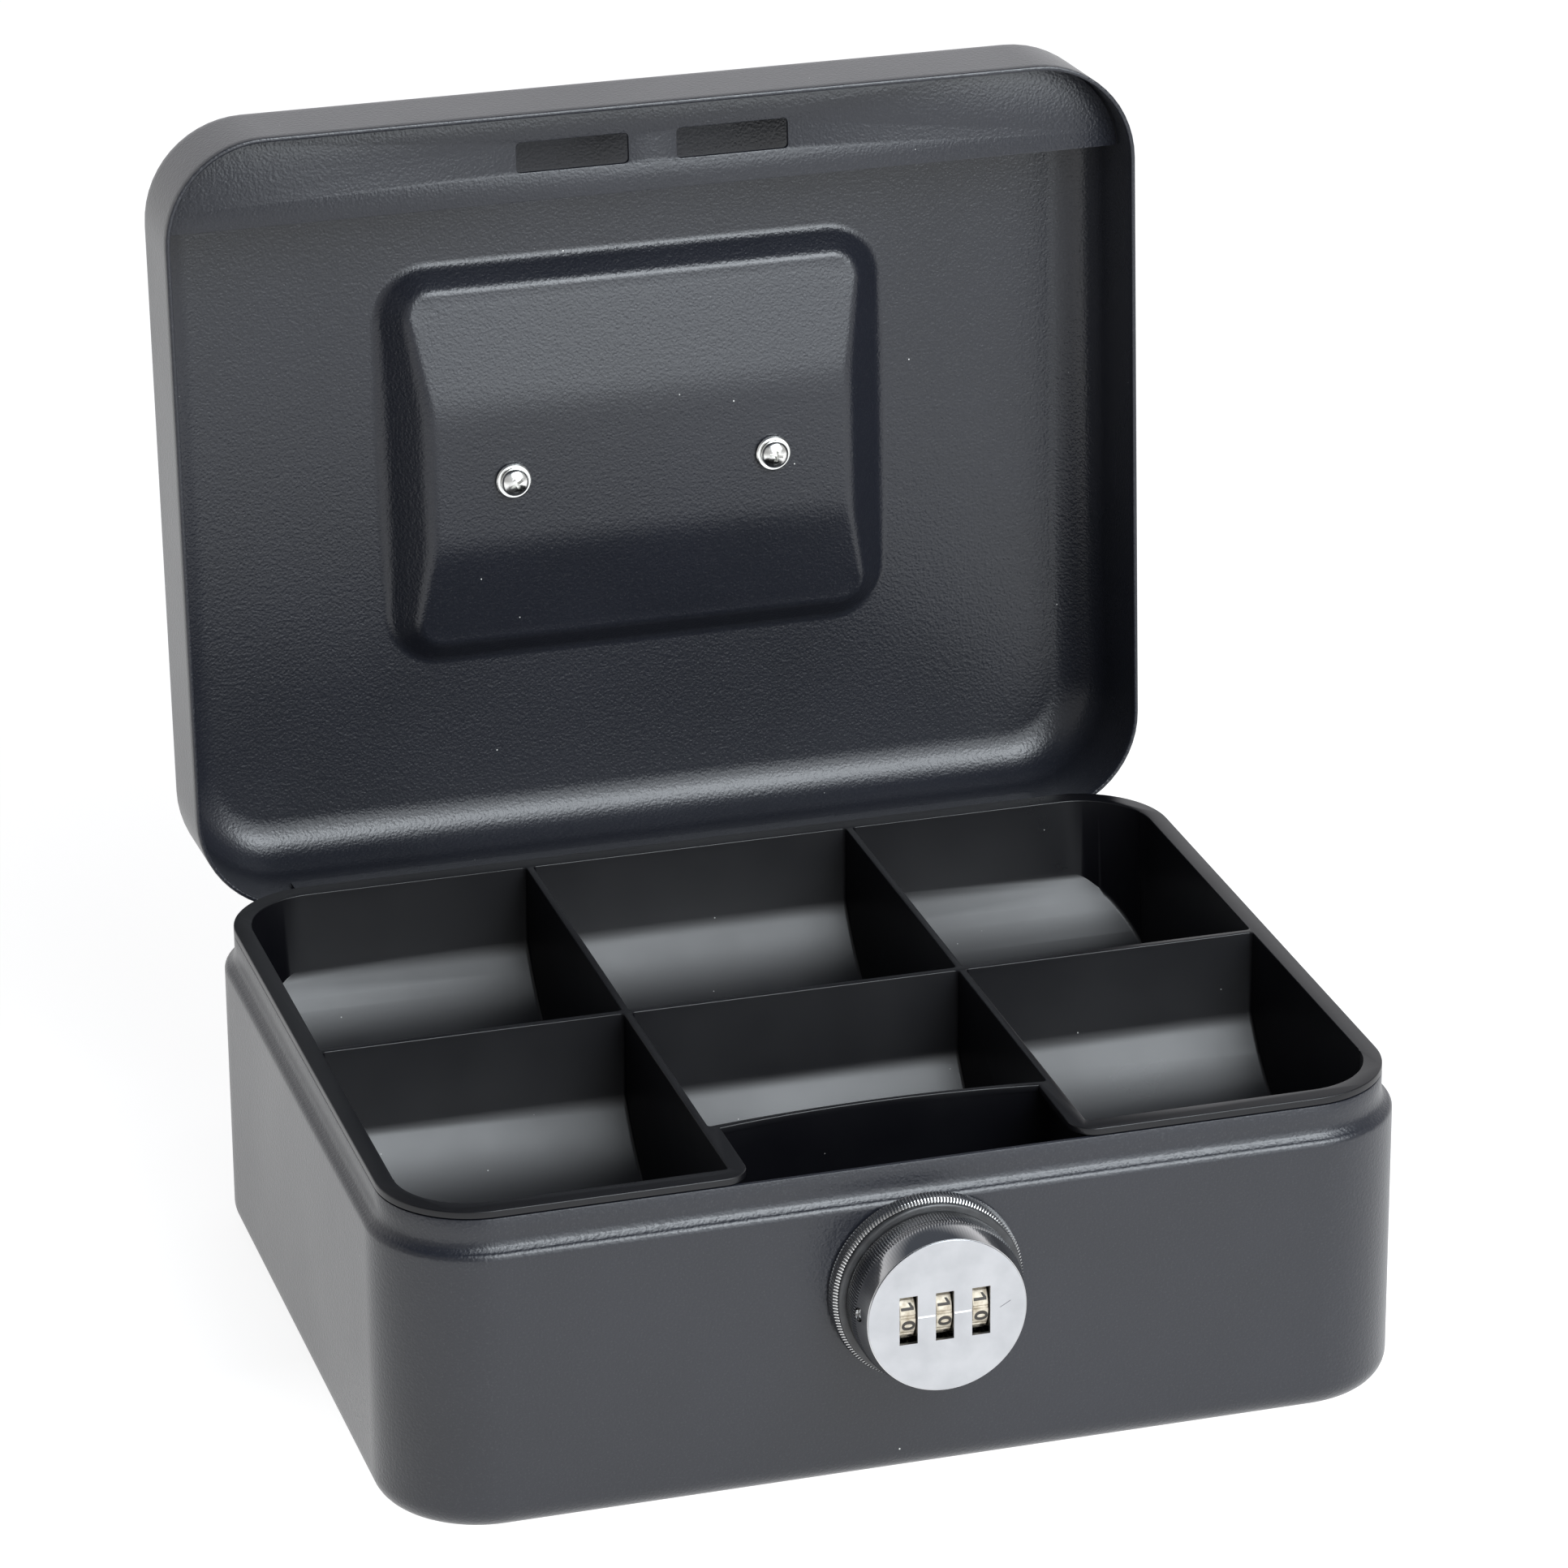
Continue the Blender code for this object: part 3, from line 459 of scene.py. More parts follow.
def mix(tree, factor, a, b):
    """A blend of two colours, each a tuple or a socket."""
    node = tree.nodes.new("ShaderNodeMix")
    node.data_type = "RGBA"
    tree.links.new(factor, node.inputs["Factor"])
    for socket, value in ((node.inputs[6], a), (node.inputs[7], b)):
        if isinstance(value, tuple):
            socket.default_value = (*value, 1.0)
        else:
            tree.links.new(value, socket)
    return node.outputs[2]


def base_colour(tree, principled, colour):
    """Feeds a colour socket to the surface."""
    tree.links.new(colour, principled.inputs["Base Color"])


def uneven_roughness(tree, principled, grain, low, high):
    """Roughness that drifts between two values with a noise."""
    tree.links.new(remap(tree, grain, 0.3, 0.7, low, high), principled.inputs["Roughness"])


def bump(tree, principled, height, distance, strength=1.0):
    node = tree.nodes.new("ShaderNodeBump")
    node.inputs["Distance"].default_value = distance
    node.inputs["Strength"].default_value = strength
    tree.links.new(height, node.inputs["Height"])
    tree.links.new(node.outputs["Normal"], principled.inputs["Normal"])


def specks(tree, coordinates, scale, size):
    """1 on a few small dots, one in most cells, and 0 elsewhere."""
    dots = remap(tree, cells(tree, coordinates, scale), size * 1.6, size)
    chosen = remap(tree, noise(tree, coordinates, scale * 0.37, 1.0), 0.52, 0.56)
    return maths(tree, "MULTIPLY", dots, chosen)


def powder_coat():
    """Dark blue-grey powder coat with a fine leathery grain and a little dust."""
    made, tree, principled, at = shader("powder_coat_leather", (0.009, 0.010, 0.014), 0.3)
    tone = remap(tree, noise(tree, at, 30.0, 4.0), 0.3, 0.7)
    colour = mix(tree, tone, (0.008, 0.009, 0.013), (0.010, 0.011, 0.016))
    flecks = remap(tree, noise(tree, at, 2600.0, 2.0), 0.55, 0.75, 0.0, 0.6)
    colour = mix(tree, flecks, colour, (0.028, 0.029, 0.033))
    base_colour(tree, principled, mix(tree, specks(tree, at, 120.0, 0.014), colour, (0.55, 0.55, 0.53)))
    uneven_roughness(tree, principled, noise(tree, at, 14.0, 3.0), 0.27, 0.33)
    wrinkles = maths(tree, "ADD", noise(tree, at, 2400.0, 2.0), cells(tree, at, 1700.0, "SMOOTH_F1"))
    bump(tree, principled, wrinkles, 0.00005)
    return made


def tray_plastic():
    """Black moulded plastic: soft shine, faint flow marks and dust."""
    made, tree, principled, at = shader("tray_plastic_black", (0.003, 0.003, 0.004), 0.3)
    colour = mix(tree, specks(tree, at, 170.0, 0.018), (0.002, 0.002, 0.003), (0.30, 0.30, 0.29))
    haze = remap(tree, noise(tree, at, 60.0, 6.0), 0.45, 0.8, 0.0, 0.12)
    base_colour(tree, principled, mix(tree, haze, colour, (0.012, 0.0125, 0.014)))
    uneven_roughness(tree, principled, noise(tree, at, 35.0, 5.0), 0.27, 0.36)
    principled.inputs["Specular IOR Level"].default_value = 0.35
    bump(tree, principled, noise(tree, at, 900.0, 2.0), 0.000006)
    return made


def chrome():
    """Bright plate with faint smudges."""
    made, tree, principled, at = shader("chrome_bright", (0.55, 0.55, 0.55), 0.07, 1.0)
    smudge = remap(tree, noise(tree, at, 160.0, 5.0), 0.4, 0.75, 0.07, 0.19)
    tree.links.new(smudge, principled.inputs["Roughness"])
    bump(tree, principled, noise(tree, at, 220.0, 3.0), 0.00001, 0.4)
    return made


def satin_face():
    """Satin silver, faintly mottled."""
    made, tree, principled, at = shader("face_satin_silver", (0.50, 0.505, 0.52), 0.34, 1.0)
    tone = remap(tree, noise(tree, at, 190.0, 6.0), 0.35, 0.7)
    base_colour(tree, principled, mix(tree, tone, (0.44, 0.445, 0.46), (0.385, 0.39, 0.405)))
    uneven_roughness(tree, principled, noise(tree, at, 420.0, 4.0), 0.28, 0.4)
    bump(tree, principled, noise(tree, at, 3000.0, 2.0), 0.000004)
    return made


def zinc(name="zinc_plate_bright", roughness=0.3, light=(0.66, 0.66, 0.64), dark=(0.52, 0.52, 0.50)):
    """Zinc plate with its slight spangle."""
    made, tree, principled, at = shader(name, light, roughness, 1.0)
    spangle = remap(tree, cells(tree, at, 500.0), 0.0, 0.8)
    base_colour(tree, principled, mix(tree, spangle, light, dark))
    uneven_roughness(tree, principled, noise(tree, at, 300.0, 4.0), roughness - 0.06, roughness + 0.1)
    bump(tree, principled, noise(tree, at, 1200.0, 3.0), 0.000008)
    return made


def dial_gold():
    """Pale gold wheels, slightly stained."""
    made, tree, principled, at = shader("dial_pale_gold", (0.46, 0.40, 0.30), 0.42, 0.2)
    stain = remap(tree, noise(tree, at, 900.0, 5.0), 0.35, 0.7)
    base_colour(tree, principled, mix(tree, stain, (0.54, 0.49, 0.40), (0.30, 0.25, 0.18)))
    uneven_roughness(tree, principled, noise(tree, at, 1500.0, 3.0), 0.3, 0.5)
    bump(tree, principled, noise(tree, at, 5000.0, 3.0), 0.00001)
    return made


def ring_plastic():
    """Smooth black plastic, rubbed a little grey."""
    made, tree, principled, at = shader("ring_plastic_black", (0.02, 0.02, 0.021), 0.34)
    rubbed = remap(tree, noise(tree, at, 400.0, 4.0), 0.4, 0.75)
    base_colour(tree, principled, mix(tree, rubbed, (0.018, 0.018, 0.019), (0.035, 0.036, 0.038)))
    bump(tree, principled, noise(tree, at, 2500.0, 2.0), 0.000006)
    return made


def paint(name, colour, roughness):
    """Thin paint in the wheels' numerals and in the index line."""
    made, tree, principled, at = shader(name, colour, roughness)
    worn = remap(tree, noise(tree, at, 4000.0, 3.0), 0.3, 0.8, 0.0, 0.35)
    lighter = tuple(min(c * 1.4 + 0.01, 1.0) for c in colour)
    base_colour(tree, principled, mix(tree, worn, colour, lighter))
    return made


def spring_steel():
    """Blued spring steel."""
    made, tree, principled, at = shader("spring_steel_blue", (0.33, 0.34, 0.36), 0.3, 1.0)
    tone = remap(tree, noise(tree, at, 700.0, 3.0), 0.3, 0.7)
    base_colour(tree, principled, mix(tree, tone, (0.38, 0.38, 0.39), (0.25, 0.27, 0.31)))
    return made


COAT = powder_coat()
CHROME = chrome()
ZINC = zinc()
SCREW_ZINC = zinc("screw_zinc_bright", 0.2, (0.88, 0.88, 0.86), (0.76, 0.76, 0.74))
PLASTIC = tray_plastic()


# ---- base ---------------------------------------------------------------------------------------

def quarter(radius, centre_inset, centre_z, start_deg, end_deg, steps):
    """An arc of (inset, height), where the inset grows away from the outside of the box."""
    return [(centre_inset - u, centre_z + v) for u, v in arc((0, 0), radius, start_deg, end_deg, steps)]


def at_height(outline, z):
    return [(x, y, z) for x, y in outline]


def base_shell():
    """The pressed shell: rounded foot, straight walls, an ogee shoulder and the neck."""
    inner = BOTTOM_R - SHEET
    profile = quarter(BOTTOM_R, BOTTOM_R, BOTTOM_R, -90, 0, 10) + [(0.0, z) for z in WALL_ZS]
    profile += quarter(SHOULDER_R, SHOULDER_R, SHOULDER_Z, 0, 72, 6)
    for turn in (math.radians(a) for a in range(15, 91, 15)):
        sideways, downwards = OGEE_RADII[0] * math.sin(turn), OGEE_RADII[1] * math.cos(turn)
        profile.append((OGEE_CENTRE[0] + sideways, OGEE_CENTRE[1] - downwards))
    profile += [(NECK_INSET, 60.5), (NECK_INSET, NECK_TOP_Z - 0.3), (NECK_INSET + 0.1, NECK_TOP_Z - 0.08)]
    profile += [(NECK_INSET + 0.3, NECK_TOP_Z), (NECK_INSET + SHEET - 0.2, NECK_TOP_Z)]
    profile += [(NECK_INSET + SHEET, NECK_TOP_Z - 0.2), *SHOULDER_INSIDE, (SHEET, WALL_ZS[1])]
    profile += quarter(inner, BOTTOM_R, BOTTOM_R, 0, -90, 8)
    shell = loft("base_shell_skin", [at_height(box_outline(inset), z) for inset, z in profile])
    combine(shell, rod("hole", "y", (LOCK_X, LOCK_Z), WALL_HOLE_R, -DEPTH / 2 - 2, -DEPTH / 2 + 3, 48))
    half = HINGE_LENGTH / 2 + HINGE_SLACK
    low_z, high_z = HINGE_WINDOW_Z
    combine(shell, block("window", (-half, DEPTH / 2 - 2.7, low_z), (half, DEPTH / 2 + 2, high_z)))
    show(shell, COAT, "base", "base_shell")


# ---- lid ----------------------------------------------------------------------------------------

def ease(value, width):
    """A ramp from 0 to 1 with both corners rounded over the width on either side."""
    if value > 0.5:
        return 1.0 - ease(1.0 - value, width)
    if value > width:
        return value
    return max(value + width, 0.0) ** 2 / (4 * width)


def recess_depth(y):
    """Depth of the recess floor: deep in the middle, shallow in front and behind."""
    fold_front, fold_rear = RECESS_FOLDS
    wall = RECESS_SLOPE * RECESS_SHALLOW
    front, rear = RECESS_MOUTH[1] + wall, RECESS_MOUTH[2] - wall
    slope = max((fold_front - y) / (fold_front - front), (y - fold_rear) / (rear - fold_rear))
    rise = min(slope, 1.0) if slope > 0.5 else ease(slope, RECESS_FOLD_ROUND)
    return RECESS_DEEP - (RECESS_DEEP - RECESS_SHALLOW) * rise


def recess_rings(grow, drop):
    """Rings from the middle of the recess floor out past its mouth."""
    half_x, low, high, radius = RECESS_MOUTH
    steps, count = LID_CORNER_STEPS, len(LID_STOPS)
    mouth = rounded(half_x + grow, low - grow, high + grow, radius + grow, steps, LID_STOPS)
    centres = rounded(half_x - radius, low + radius, high - radius, 0.0, steps, (0.5,) * count)
    inward = []
    for k, (x, y) in enumerate(mouth):
        part, place = divmod(k, count + steps + 1)
        if place < count:
            way = Vector(((-1, 0), (0, -1), (1, 0), (0, 1))[part])
        else:
            way = Vector((centres[k][0] - x, centres[k][1] - y)).normalized()
        inward.append(way * RECESS_SLOPE * recess_depth(y + way.y * RECESS_SLOPE * RECESS_SHALLOW))
    middle = Vector((0.0, (low + high) / 2))
    innermost = 1.0 + RECESS_SPREAD
    rings = []
    for k in range(1, RECESS_RINGS):
        ring = []
        for (x, y), way in zip(mouth, inward):
            edge = Vector((x, y)) + way * innermost
            place = middle + (edge - middle) * (k / RECESS_RINGS)
            ring.append((place.x, place.y, LID_TOP_Z - drop - recess_depth(place.y)))
        rings.append(ring)
    for k in range(RECESS_RINGS + 1):
        across = innermost - (innermost + RECESS_SPREAD) * k / RECESS_RINGS
        down = ease(across, RECESS_WALL_ROUND)
        ring = []
        for (x, y), way in zip(mouth, inward):
            place = Vector((x, y)) + way * across
            ring.append((place.x, place.y, LID_TOP_Z - drop - down * recess_depth(y + way.y)))
        rings.append(ring)
    return rings


def lid_shell():
    """The pressed lid: from the middle of its inside out over the rim and back to the middle of its top."""
    edge_z, inner_z = LID_TOP_Z - LID_EDGE_R, LID_TOP_Z - SHEET - LID_INNER_R
    walls = quarter(LID_INNER_R, SHEET + LID_INNER_R, inner_z, 90, 0, 12)
    walls += [(SHEET, inner_z - 1.0), (SHEET, LID_WALL_Z)]
    walls += [(SHEET, LID_RIM_Z + 0.3), (SHEET - 0.1, LID_RIM_Z + 0.1), (SHEET - 0.3, LID_RIM_Z)]
    walls += [(0.3, LID_RIM_Z), (0.1, LID_RIM_Z + 0.1), (0.0, LID_RIM_Z + 0.3)]
    walls += [(0.0, LID_WALL_Z), (0.0, edge_z - 1.0)]
    walls += quarter(LID_EDGE_R, LID_EDGE_R, edge_z, 0, 90, 12)
    rings = recess_rings(RECESS_UNDER_GROW, SHEET)
    rings += [at_height(box_outline(inset, LID_CORNER_STEPS, LID_STOPS), z) for inset, z in walls]
    rings += reversed(recess_rings(0.0, 0.0))
    shell = loft("lid_shell_skin", rings)
    for side in (-1, 1):
        combine(shell, rod("hole", "z", (side * POST[0], POST[1]), SCREW_HOLE_R, 70, 80))
    half, high_z = HINGE_LENGTH / 2 + HINGE_SLACK, HINGE_WINDOW_Z[1]
    relief = block("relief", (-half, DEPTH / 2 - SHEET - 1, LID_RIM_Z - 1), (half, DEPTH / 2 + 1, high_z))
    combine(shell, relief)
    show(shell, COAT, "lid", "lid_shell", LID_OPEN)


def strike_plate():
    """Flat plate across the front of the lid's inside, with a short flange and two slots."""
    inset, top_z = SHEET + 0.3, STRIKE_Z + SHEET
    front_y, rear_y = inset - DEPTH / 2, STRIKE_DEPTH - DEPTH / 2
    plate = prism("strike_plate_skin", box_outline(inset, 24), "z", STRIKE_Z, top_z)
    combine(plate, block("front", (-WIDTH, -DEPTH, STRIKE_Z - 1), (WIDTH, rear_y, top_z + 1)), "INTERSECT")
    reach = WIDTH / 2 - CORNER_R - 3
    low, high = (-reach, front_y, top_z - 0.4), (reach, front_y + SHEET, top_z + STRIKE_FLANGE_H)
    combine(plate, block("flange", low, high), "UNION")
    low_y, high_y = STRIKE_SLOT_Y
    near, far = STRIKE_SLOT_X
    for side in (-1, 1):
        middle = LOCK_X + side * (near + far) / 2
        outline = rounded((far - near) / 2, low_y, high_y, STRIKE_SLOT_R, 6)
        slot = [(middle + x, y) for x, y in outline]
        combine(plate, prism("slot", slot, "z", STRIKE_Z - 1, top_z + 1))
    bevel_level(plate, STRIKE_Z, 0.15, 2)
    show(plate, COAT, "lid", "strike_plate", LID_OPEN)


# ---- coin tray ----------------------------------------------------------------------------------

def scoop_centre(side):
    """Y of the axis of the front (-1) or rear (1) row of scoops."""
    return (TRAY_DIVIDER_Y + side * (TRAY_DIVIDER / 2 + TRAY_INSIDE[1])) / 2


def scoop_profile(low_y, high_y, radius, centre_y, top_z, steps=40):
    ys = [low_y + (high_y - low_y) * k / steps for k in range(steps + 1)]
    floor = [(y, SCOOP_AXIS_Z - math.sqrt(radius**2 - (y - centre_y) ** 2)) for y in ys]
    return [(high_y, top_z), (low_y, top_z)] + floor


def notch_outline(half_x, front_y, shift=0.0, steps=24):
    """The lock's notch from above, with its bowed rear wall."""
    ways = [2 * k / steps - 1 for k in range(steps + 1)]
    back = [(half_x * s, TRAY_NOTCH_Y + shift + TRAY_NOTCH_BOW * (1 - s * s)) for s in reversed(ways)]
    return back + [(-half_x, front_y), (half_x, front_y)]


def flared_notch_outline():
    """The same notch with round corners where it meets the tray's front edge."""
    edge_y = NECK_INSET - DEPTH / 2
    corner_y, corner_x = edge_y + TRAY_NOTCH_R, TRAY_NOTCH_X + TRAY_NOTCH_R
    back = notch_outline(TRAY_NOTCH_X, corner_y)[:-2]
    left = arc((-corner_x, corner_y), TRAY_NOTCH_R, 0, -90, 12)
    right = arc((corner_x, corner_y), TRAY_NOTCH_R, 270, 180, 12)
    return back + left + [(-corner_x, edge_y - 3), (corner_x, edge_y - 3)] + right


def tray_cell(side, column, edge):
    """What is cut out for one cell, with its lower edges rounded."""
    inside_x, inside_y = TRAY_INSIDE
    low_y, high_y = sorted((TRAY_DIVIDER_Y + side * TRAY_DIVIDER / 2, side * inside_y))
    low_x, high_x = ((-inside_x, -edge), (TRAY_DIVIDER - edge, edge - TRAY_DIVIDER), (edge, inside_x))[column]
    profile = scoop_profile(low_y, high_y, SCOOP_R, scoop_centre(side), TRAY_TOP_Z + 4)
    cell = prism("cell", profile, "x", low_x, high_x)
    if column != 1:
        bounds = rounded(inside_x, -inside_y, inside_y, TRAY_INSIDE_R, 20)
        combine(cell, prism("bounds", bounds, "z", *TRAY_CUT_Z), "INTERSECT")
    elif side == -1:
        kept = notch_outline(edge, -DEPTH, TRAY_NOTCH_WALL)
        combine(cell, prism("kept", kept, "z", *TRAY_CUT_Z))
    return bevel(cell, TRAY_CELL_ROUND, 50)


def coin_tray():
    """One moulding: scooped underside, flange, six cells and the notch for the lock."""
    inside_x, inside_y = TRAY_INSIDE
    outer_x, outer_y = inside_x + TRAY_WALL, inside_y + TRAY_WALL
    outline = rounded(outer_x, -outer_y, outer_y, TRAY_INSIDE_R + TRAY_WALL, 16)
    tray = prism("coin_tray_skin", outline, "z", TRAY_FOOT_Z, TRAY_TOP_Z - 0.5)
    radius = SCOOP_R + TRAY_WALL
    front = scoop_profile(-outer_y - 1, TRAY_DIVIDER_Y, radius, scoop_centre(-1), TRAY_TOP_Z)
    rear = scoop_profile(TRAY_DIVIDER_Y, outer_y + 1, radius, scoop_centre(1), TRAY_TOP_Z)
    scoops = prism("scoops", front[1:] + rear[3:] + rear[:1], "x", -outer_x - 1, outer_x + 1)
    combine(tray, scoops, "INTERSECT")
    flange = prism("flange", box_outline(NECK_INSET, 24), "z", TRAY_TOP_Z - TRAY_FLANGE, TRAY_TOP_Z)
    combine(tray, flange, "UNION")
    edge = TRAY_DIVIDER_X + TRAY_DIVIDER / 2
    for side in (-1, 1):
        for column in range(3):
            combine(tray, tray_cell(side, column, edge))
    combine(tray, prism("notch_top", flared_notch_outline(), "z", TRAY_TOP_Z - 3, TRAY_TOP_Z + 2))
    lower = notch_outline(edge - TRAY_DIVIDER, NECK_INSET - DEPTH / 2 - 1)
    combine(tray, prism("notch", lower, "z", TRAY_CUT_Z[0], TRAY_TOP_Z - TRAY_FLANGE))
    bevel_level(tray, TRAY_TOP_Z, TRAY_RIM_ROUND)
    show(tray, PLASTIC, "tray", "coin_tray")


# ---- lock ---------------------------------------------------------------------------------------

def lock_front():
    """The fixed knurled collar with its bush, and the black ring in front of it."""
    collar = lathe_tube("lock_collar_skin", [
        (COLLAR_R - 0.5, COLLAR_BACK_Y, 0.0), (COLLAR_R - 0.05, -80.7, 0.1), (COLLAR_R, -80.9, 0.42),
        (COLLAR_R - 0.3, -82.8, 0.42), (COLLAR_R - 0.8, -83.25, 0.3), (COLLAR_R - 1.0, -83.38, 0.0),
        (HUB_R + 0.3, COLLAR_FRONT_Y, 0.0), (HUB_R + 0.3, COLLAR_SEAT_Y, 0.0),
        (BUSH_BORE_R, COLLAR_SEAT_Y, 0.0), (BUSH_BORE_R, BUSH_END_Y, 0.0),
        (BUSH_R, BUSH_END_Y, 0.0), (BUSH_R, COLLAR_BACK_Y, 0.0),
    ], TEETH)
    show(collar, CHROME, "base", "lock_collar")
    edge = arc((RING_R - RING_ROUND, RING_MIDDLE_Y), RING_ROUND, 90, -90, 8)
    profile = [(HUB_R + 0.5, RING_MIDDLE_Y + RING_ROUND, 0.0)]
    profile += [(radius, y, 0.0) for radius, y in edge]
    profile += [(HUB_R + 0.5, RING_MIDDLE_Y - RING_ROUND, 0.0)]
    show(lathe_tube("lock_ring_skin", profile), ring_plastic(), "base", "lock_ring")


def knob():
    """Knurled hub, polished cone, the thin rim round the face and the setting pin at the side."""
    body = lathe("knob_body_skin", [
        (HUB_R, HUB_BACK_Y, 0.0), (HUB_R, KNOB_BACK_Y, 0.0),
        (KNOB_R - 0.5, KNOB_BACK_Y, 0.0), (KNOB_R - 0.1, -85.05, 0.1), (KNOB_R, -85.2, 0.36),
        (KNOB_R, -89.3, 0.36), (KNOB_R - 0.1, -89.55, 0.3), (KNOB_R - 0.28, -90.0, 0.04),
        (KNOB_R - 0.36, -90.3, 0.0), (RIM_R + 0.1, -94.0, 0.0), (RIM_R, FACE_Y + 0.24, 0.0),
        (FACE_R + 0.25, FACE_Y + 0.24, 0.0), (FACE_R + 0.2, FACE_Y + 1.0, 0.0),
    ], teeth=TEETH)
    half_x, half_z = WHEEL_SLOT[0] / 2, WHEEL_SLOT[1] / 2
    for x in DIAL_XS:
        low, high = (x - half_x, FACE_Y - 1, LOCK_Z - half_z), (x + half_x, WHEEL_SLOT_END_Y, LOCK_Z + half_z)
        combine(body, block("slot", low, high))
    combine(body, rod("hole", "x", SETTING_PIN, SETTING_PIN_HOLE_R, LOCK_X - 18, LOCK_X - 14.6, 24))
    show(body, CHROME, "knob", "knob_body")
    pin = lathe("setting_pin_skin", [
        (SETTING_PIN_R, LOCK_X - 14.9, 0.0), (SETTING_PIN_R, LOCK_X - 15.6, 0.0),
        (SETTING_PIN_R - 0.45, LOCK_X - 15.75, 0.0),
    ], 32, centre=SETTING_PIN, axis="x")
    show(pin, CHROME, "knob")


def face_plate():
    """Satin disc with three windows, an index line between them and a short tick."""
    plate = lathe("face_plate_skin", [
        (FACE_R, FACE_Y + 0.7, 0.0), (FACE_R, FACE_Y + 0.22, 0.0), (FACE_DISC_R - 0.05, FACE_Y + 0.2, 0.0),
        (FACE_DISC_R, FACE_Y + 0.1, 0.0), (FACE_DISC_R - 0.08, FACE_Y, 0.0),
    ], 128)
    half_x, half_z = WINDOW[0] / 2, WINDOW[1] / 2
    for x in DIAL_XS:
        low, high = (x - half_x, FACE_Y - 1, LOCK_Z - half_z), (x + half_x, FACE_Y + 2, LOCK_Z + half_z)
        combine(plate, block("opening", low, high))
    lines = []
    for a, b in zip(DIAL_XS, DIAL_XS[1:]):
        low_x, high_x, low_z, high_z = a + half_x + 0.12, b - half_x - 0.12, LOCK_Z + 0.1, LOCK_Z + 0.5
        combine(plate, block("groove", (low_x, FACE_Y - 1, low_z), (high_x, FACE_Y + 0.12, high_z)))
        low = (low_x + 0.02, FACE_Y + 0.03, low_z + 0.02)
        high = (high_x - 0.02, FACE_Y + 0.11, high_z - 0.02)
        lines.append(block("line", low, high))
    tick = [(LOCK_X + x, LOCK_Z + z) for x, z in ((10.1, 0.25), (10.2, 0.12), (12.2, 1.25), (12.1, 1.38))]
    combine(plate, prism("tick", tick, "y", FACE_Y - 1, FACE_Y + 0.1))
    show(plate, satin_face(), "knob", "face_plate")
    white = paint("index_white", (0.85, 0.85, 0.84), 0.4)
    for line, label in zip(lines, ("left", "right")):
        line.name = "index_line_" + label
        show(line, white, "knob")


def dial_radius(angle):
    """The wheels' outline: ten lands with a narrow double groove between them."""
    away = abs((angle / math.tau * 10) % 1.0 - 0.5) * 2
    if away > 0.90:
        return DIAL_R - 0.12
    if away > 0.80:
        return DIAL_R - 0.26
    return DIAL_R - 0.02


def numeral(digit, name):
    """One numeral as a flat mesh about one unit high, centred on its middle."""
    if digit == 1:
        helper = prism(name, ONE_OUTLINE, "z", -0.01, 0.01)
    else:
        text = bpy.data.curves.new(name, "FONT")
        text.body = str(digit)
        text.align_x = "CENTER"
        text.align_y = "CENTER"
        text.extrude = 0.01
        text.offset = 0.03
        helper = bpy.data.objects.new(name, text)
        bpy.context.scene.collection.objects.link(helper)
    graph = bpy.context.evaluated_depsgraph_get()
    mesh = bpy.data.meshes.new_from_object(helper.evaluated_get(graph))
    bpy.data.objects.remove(helper)
    return mesh


def on_wheel(x, radius, angle):
    """A point at a distance from the wheels' axle. The angle is 0 at the face and grows upwards."""
    return x, DIAL_Y - radius * math.cos(angle), LOCK_Z + radius * math.sin(angle)


def wheel_skin(name, x, shift):
    """A wheel with ten lands, chamfered rims and its bore."""
    half = DIAL_WIDTH / 2
    rings = []
    for place, drop in ((x - half, DIAL_CHAMFER), (x - half + DIAL_CHAMFER, 0.0),
                        (x + half - DIAL_CHAMFER, 0.0), (x + half, DIAL_CHAMFER)):
        ring = []
        for k in range(DIAL_POINTS):
            angle = math.tau * k / DIAL_POINTS
            ring.append(on_wheel(place, dial_radius(angle - shift + math.tau / 20) - drop, angle))
        rings.append(ring)
    return combine(loft(name, rings), rod("bore", "x", (DIAL_Y, LOCK_Z), DIAL_BORE_R, x - 3, x + 3, 24))


def wheel_numerals(name, x, shift):
    """The ten numerals bent round a wheel, as one mesh."""
    numerals = bmesh.new()
    for digit in range(10):
        mesh = numeral(digit, "numeral")
        part = bmesh.new()
        part.from_mesh(mesh)
        bmesh.ops.subdivide_edges(part, edges=part.edges, cuts=1)
        turn = shift + math.tau * digit / 10
        for vertex in part.verts:
            wide, tall = vertex.co.x * NUMERAL_WIDE, vertex.co.y * NUMERAL_TALL
            radius = DIAL_R + vertex.co.z * NUMERAL_PROUD
            vertex.co = on_wheel(x + tall, radius, turn - wide / DIAL_R)
        part.to_mesh(mesh)
        part.free()
        numerals.from_mesh(mesh)
    joined = bpy.data.meshes.new("numerals")
    bmesh.ops.recalc_face_normals(numerals, faces=numerals.faces)
    numerals.to_mesh(joined)
    numerals.free()
    ring = bpy.data.objects.new(name, joined)
    bpy.context.scene.collection.objects.link(ring)
    return ring


def dials():
    gold, ink = dial_gold(), paint("numeral_ink", (0.018, 0.014, 0.010), 0.5)
    shift = math.radians(DIAL_TURN_DEG)
    for x, side in zip(DIAL_XS, ("left", "middle", "right")):
        wheel = wheel_skin("dial_" + side + "_wheel", x, shift)
        show(wheel, gold, "dial_" + side, "dial_" + side, sharp=25.0)
        show(wheel_numerals("dial_" + side + "_numerals", x, shift), ink, "dial_" + side)


# ---- handle -------------------------------------------------------------------------------------

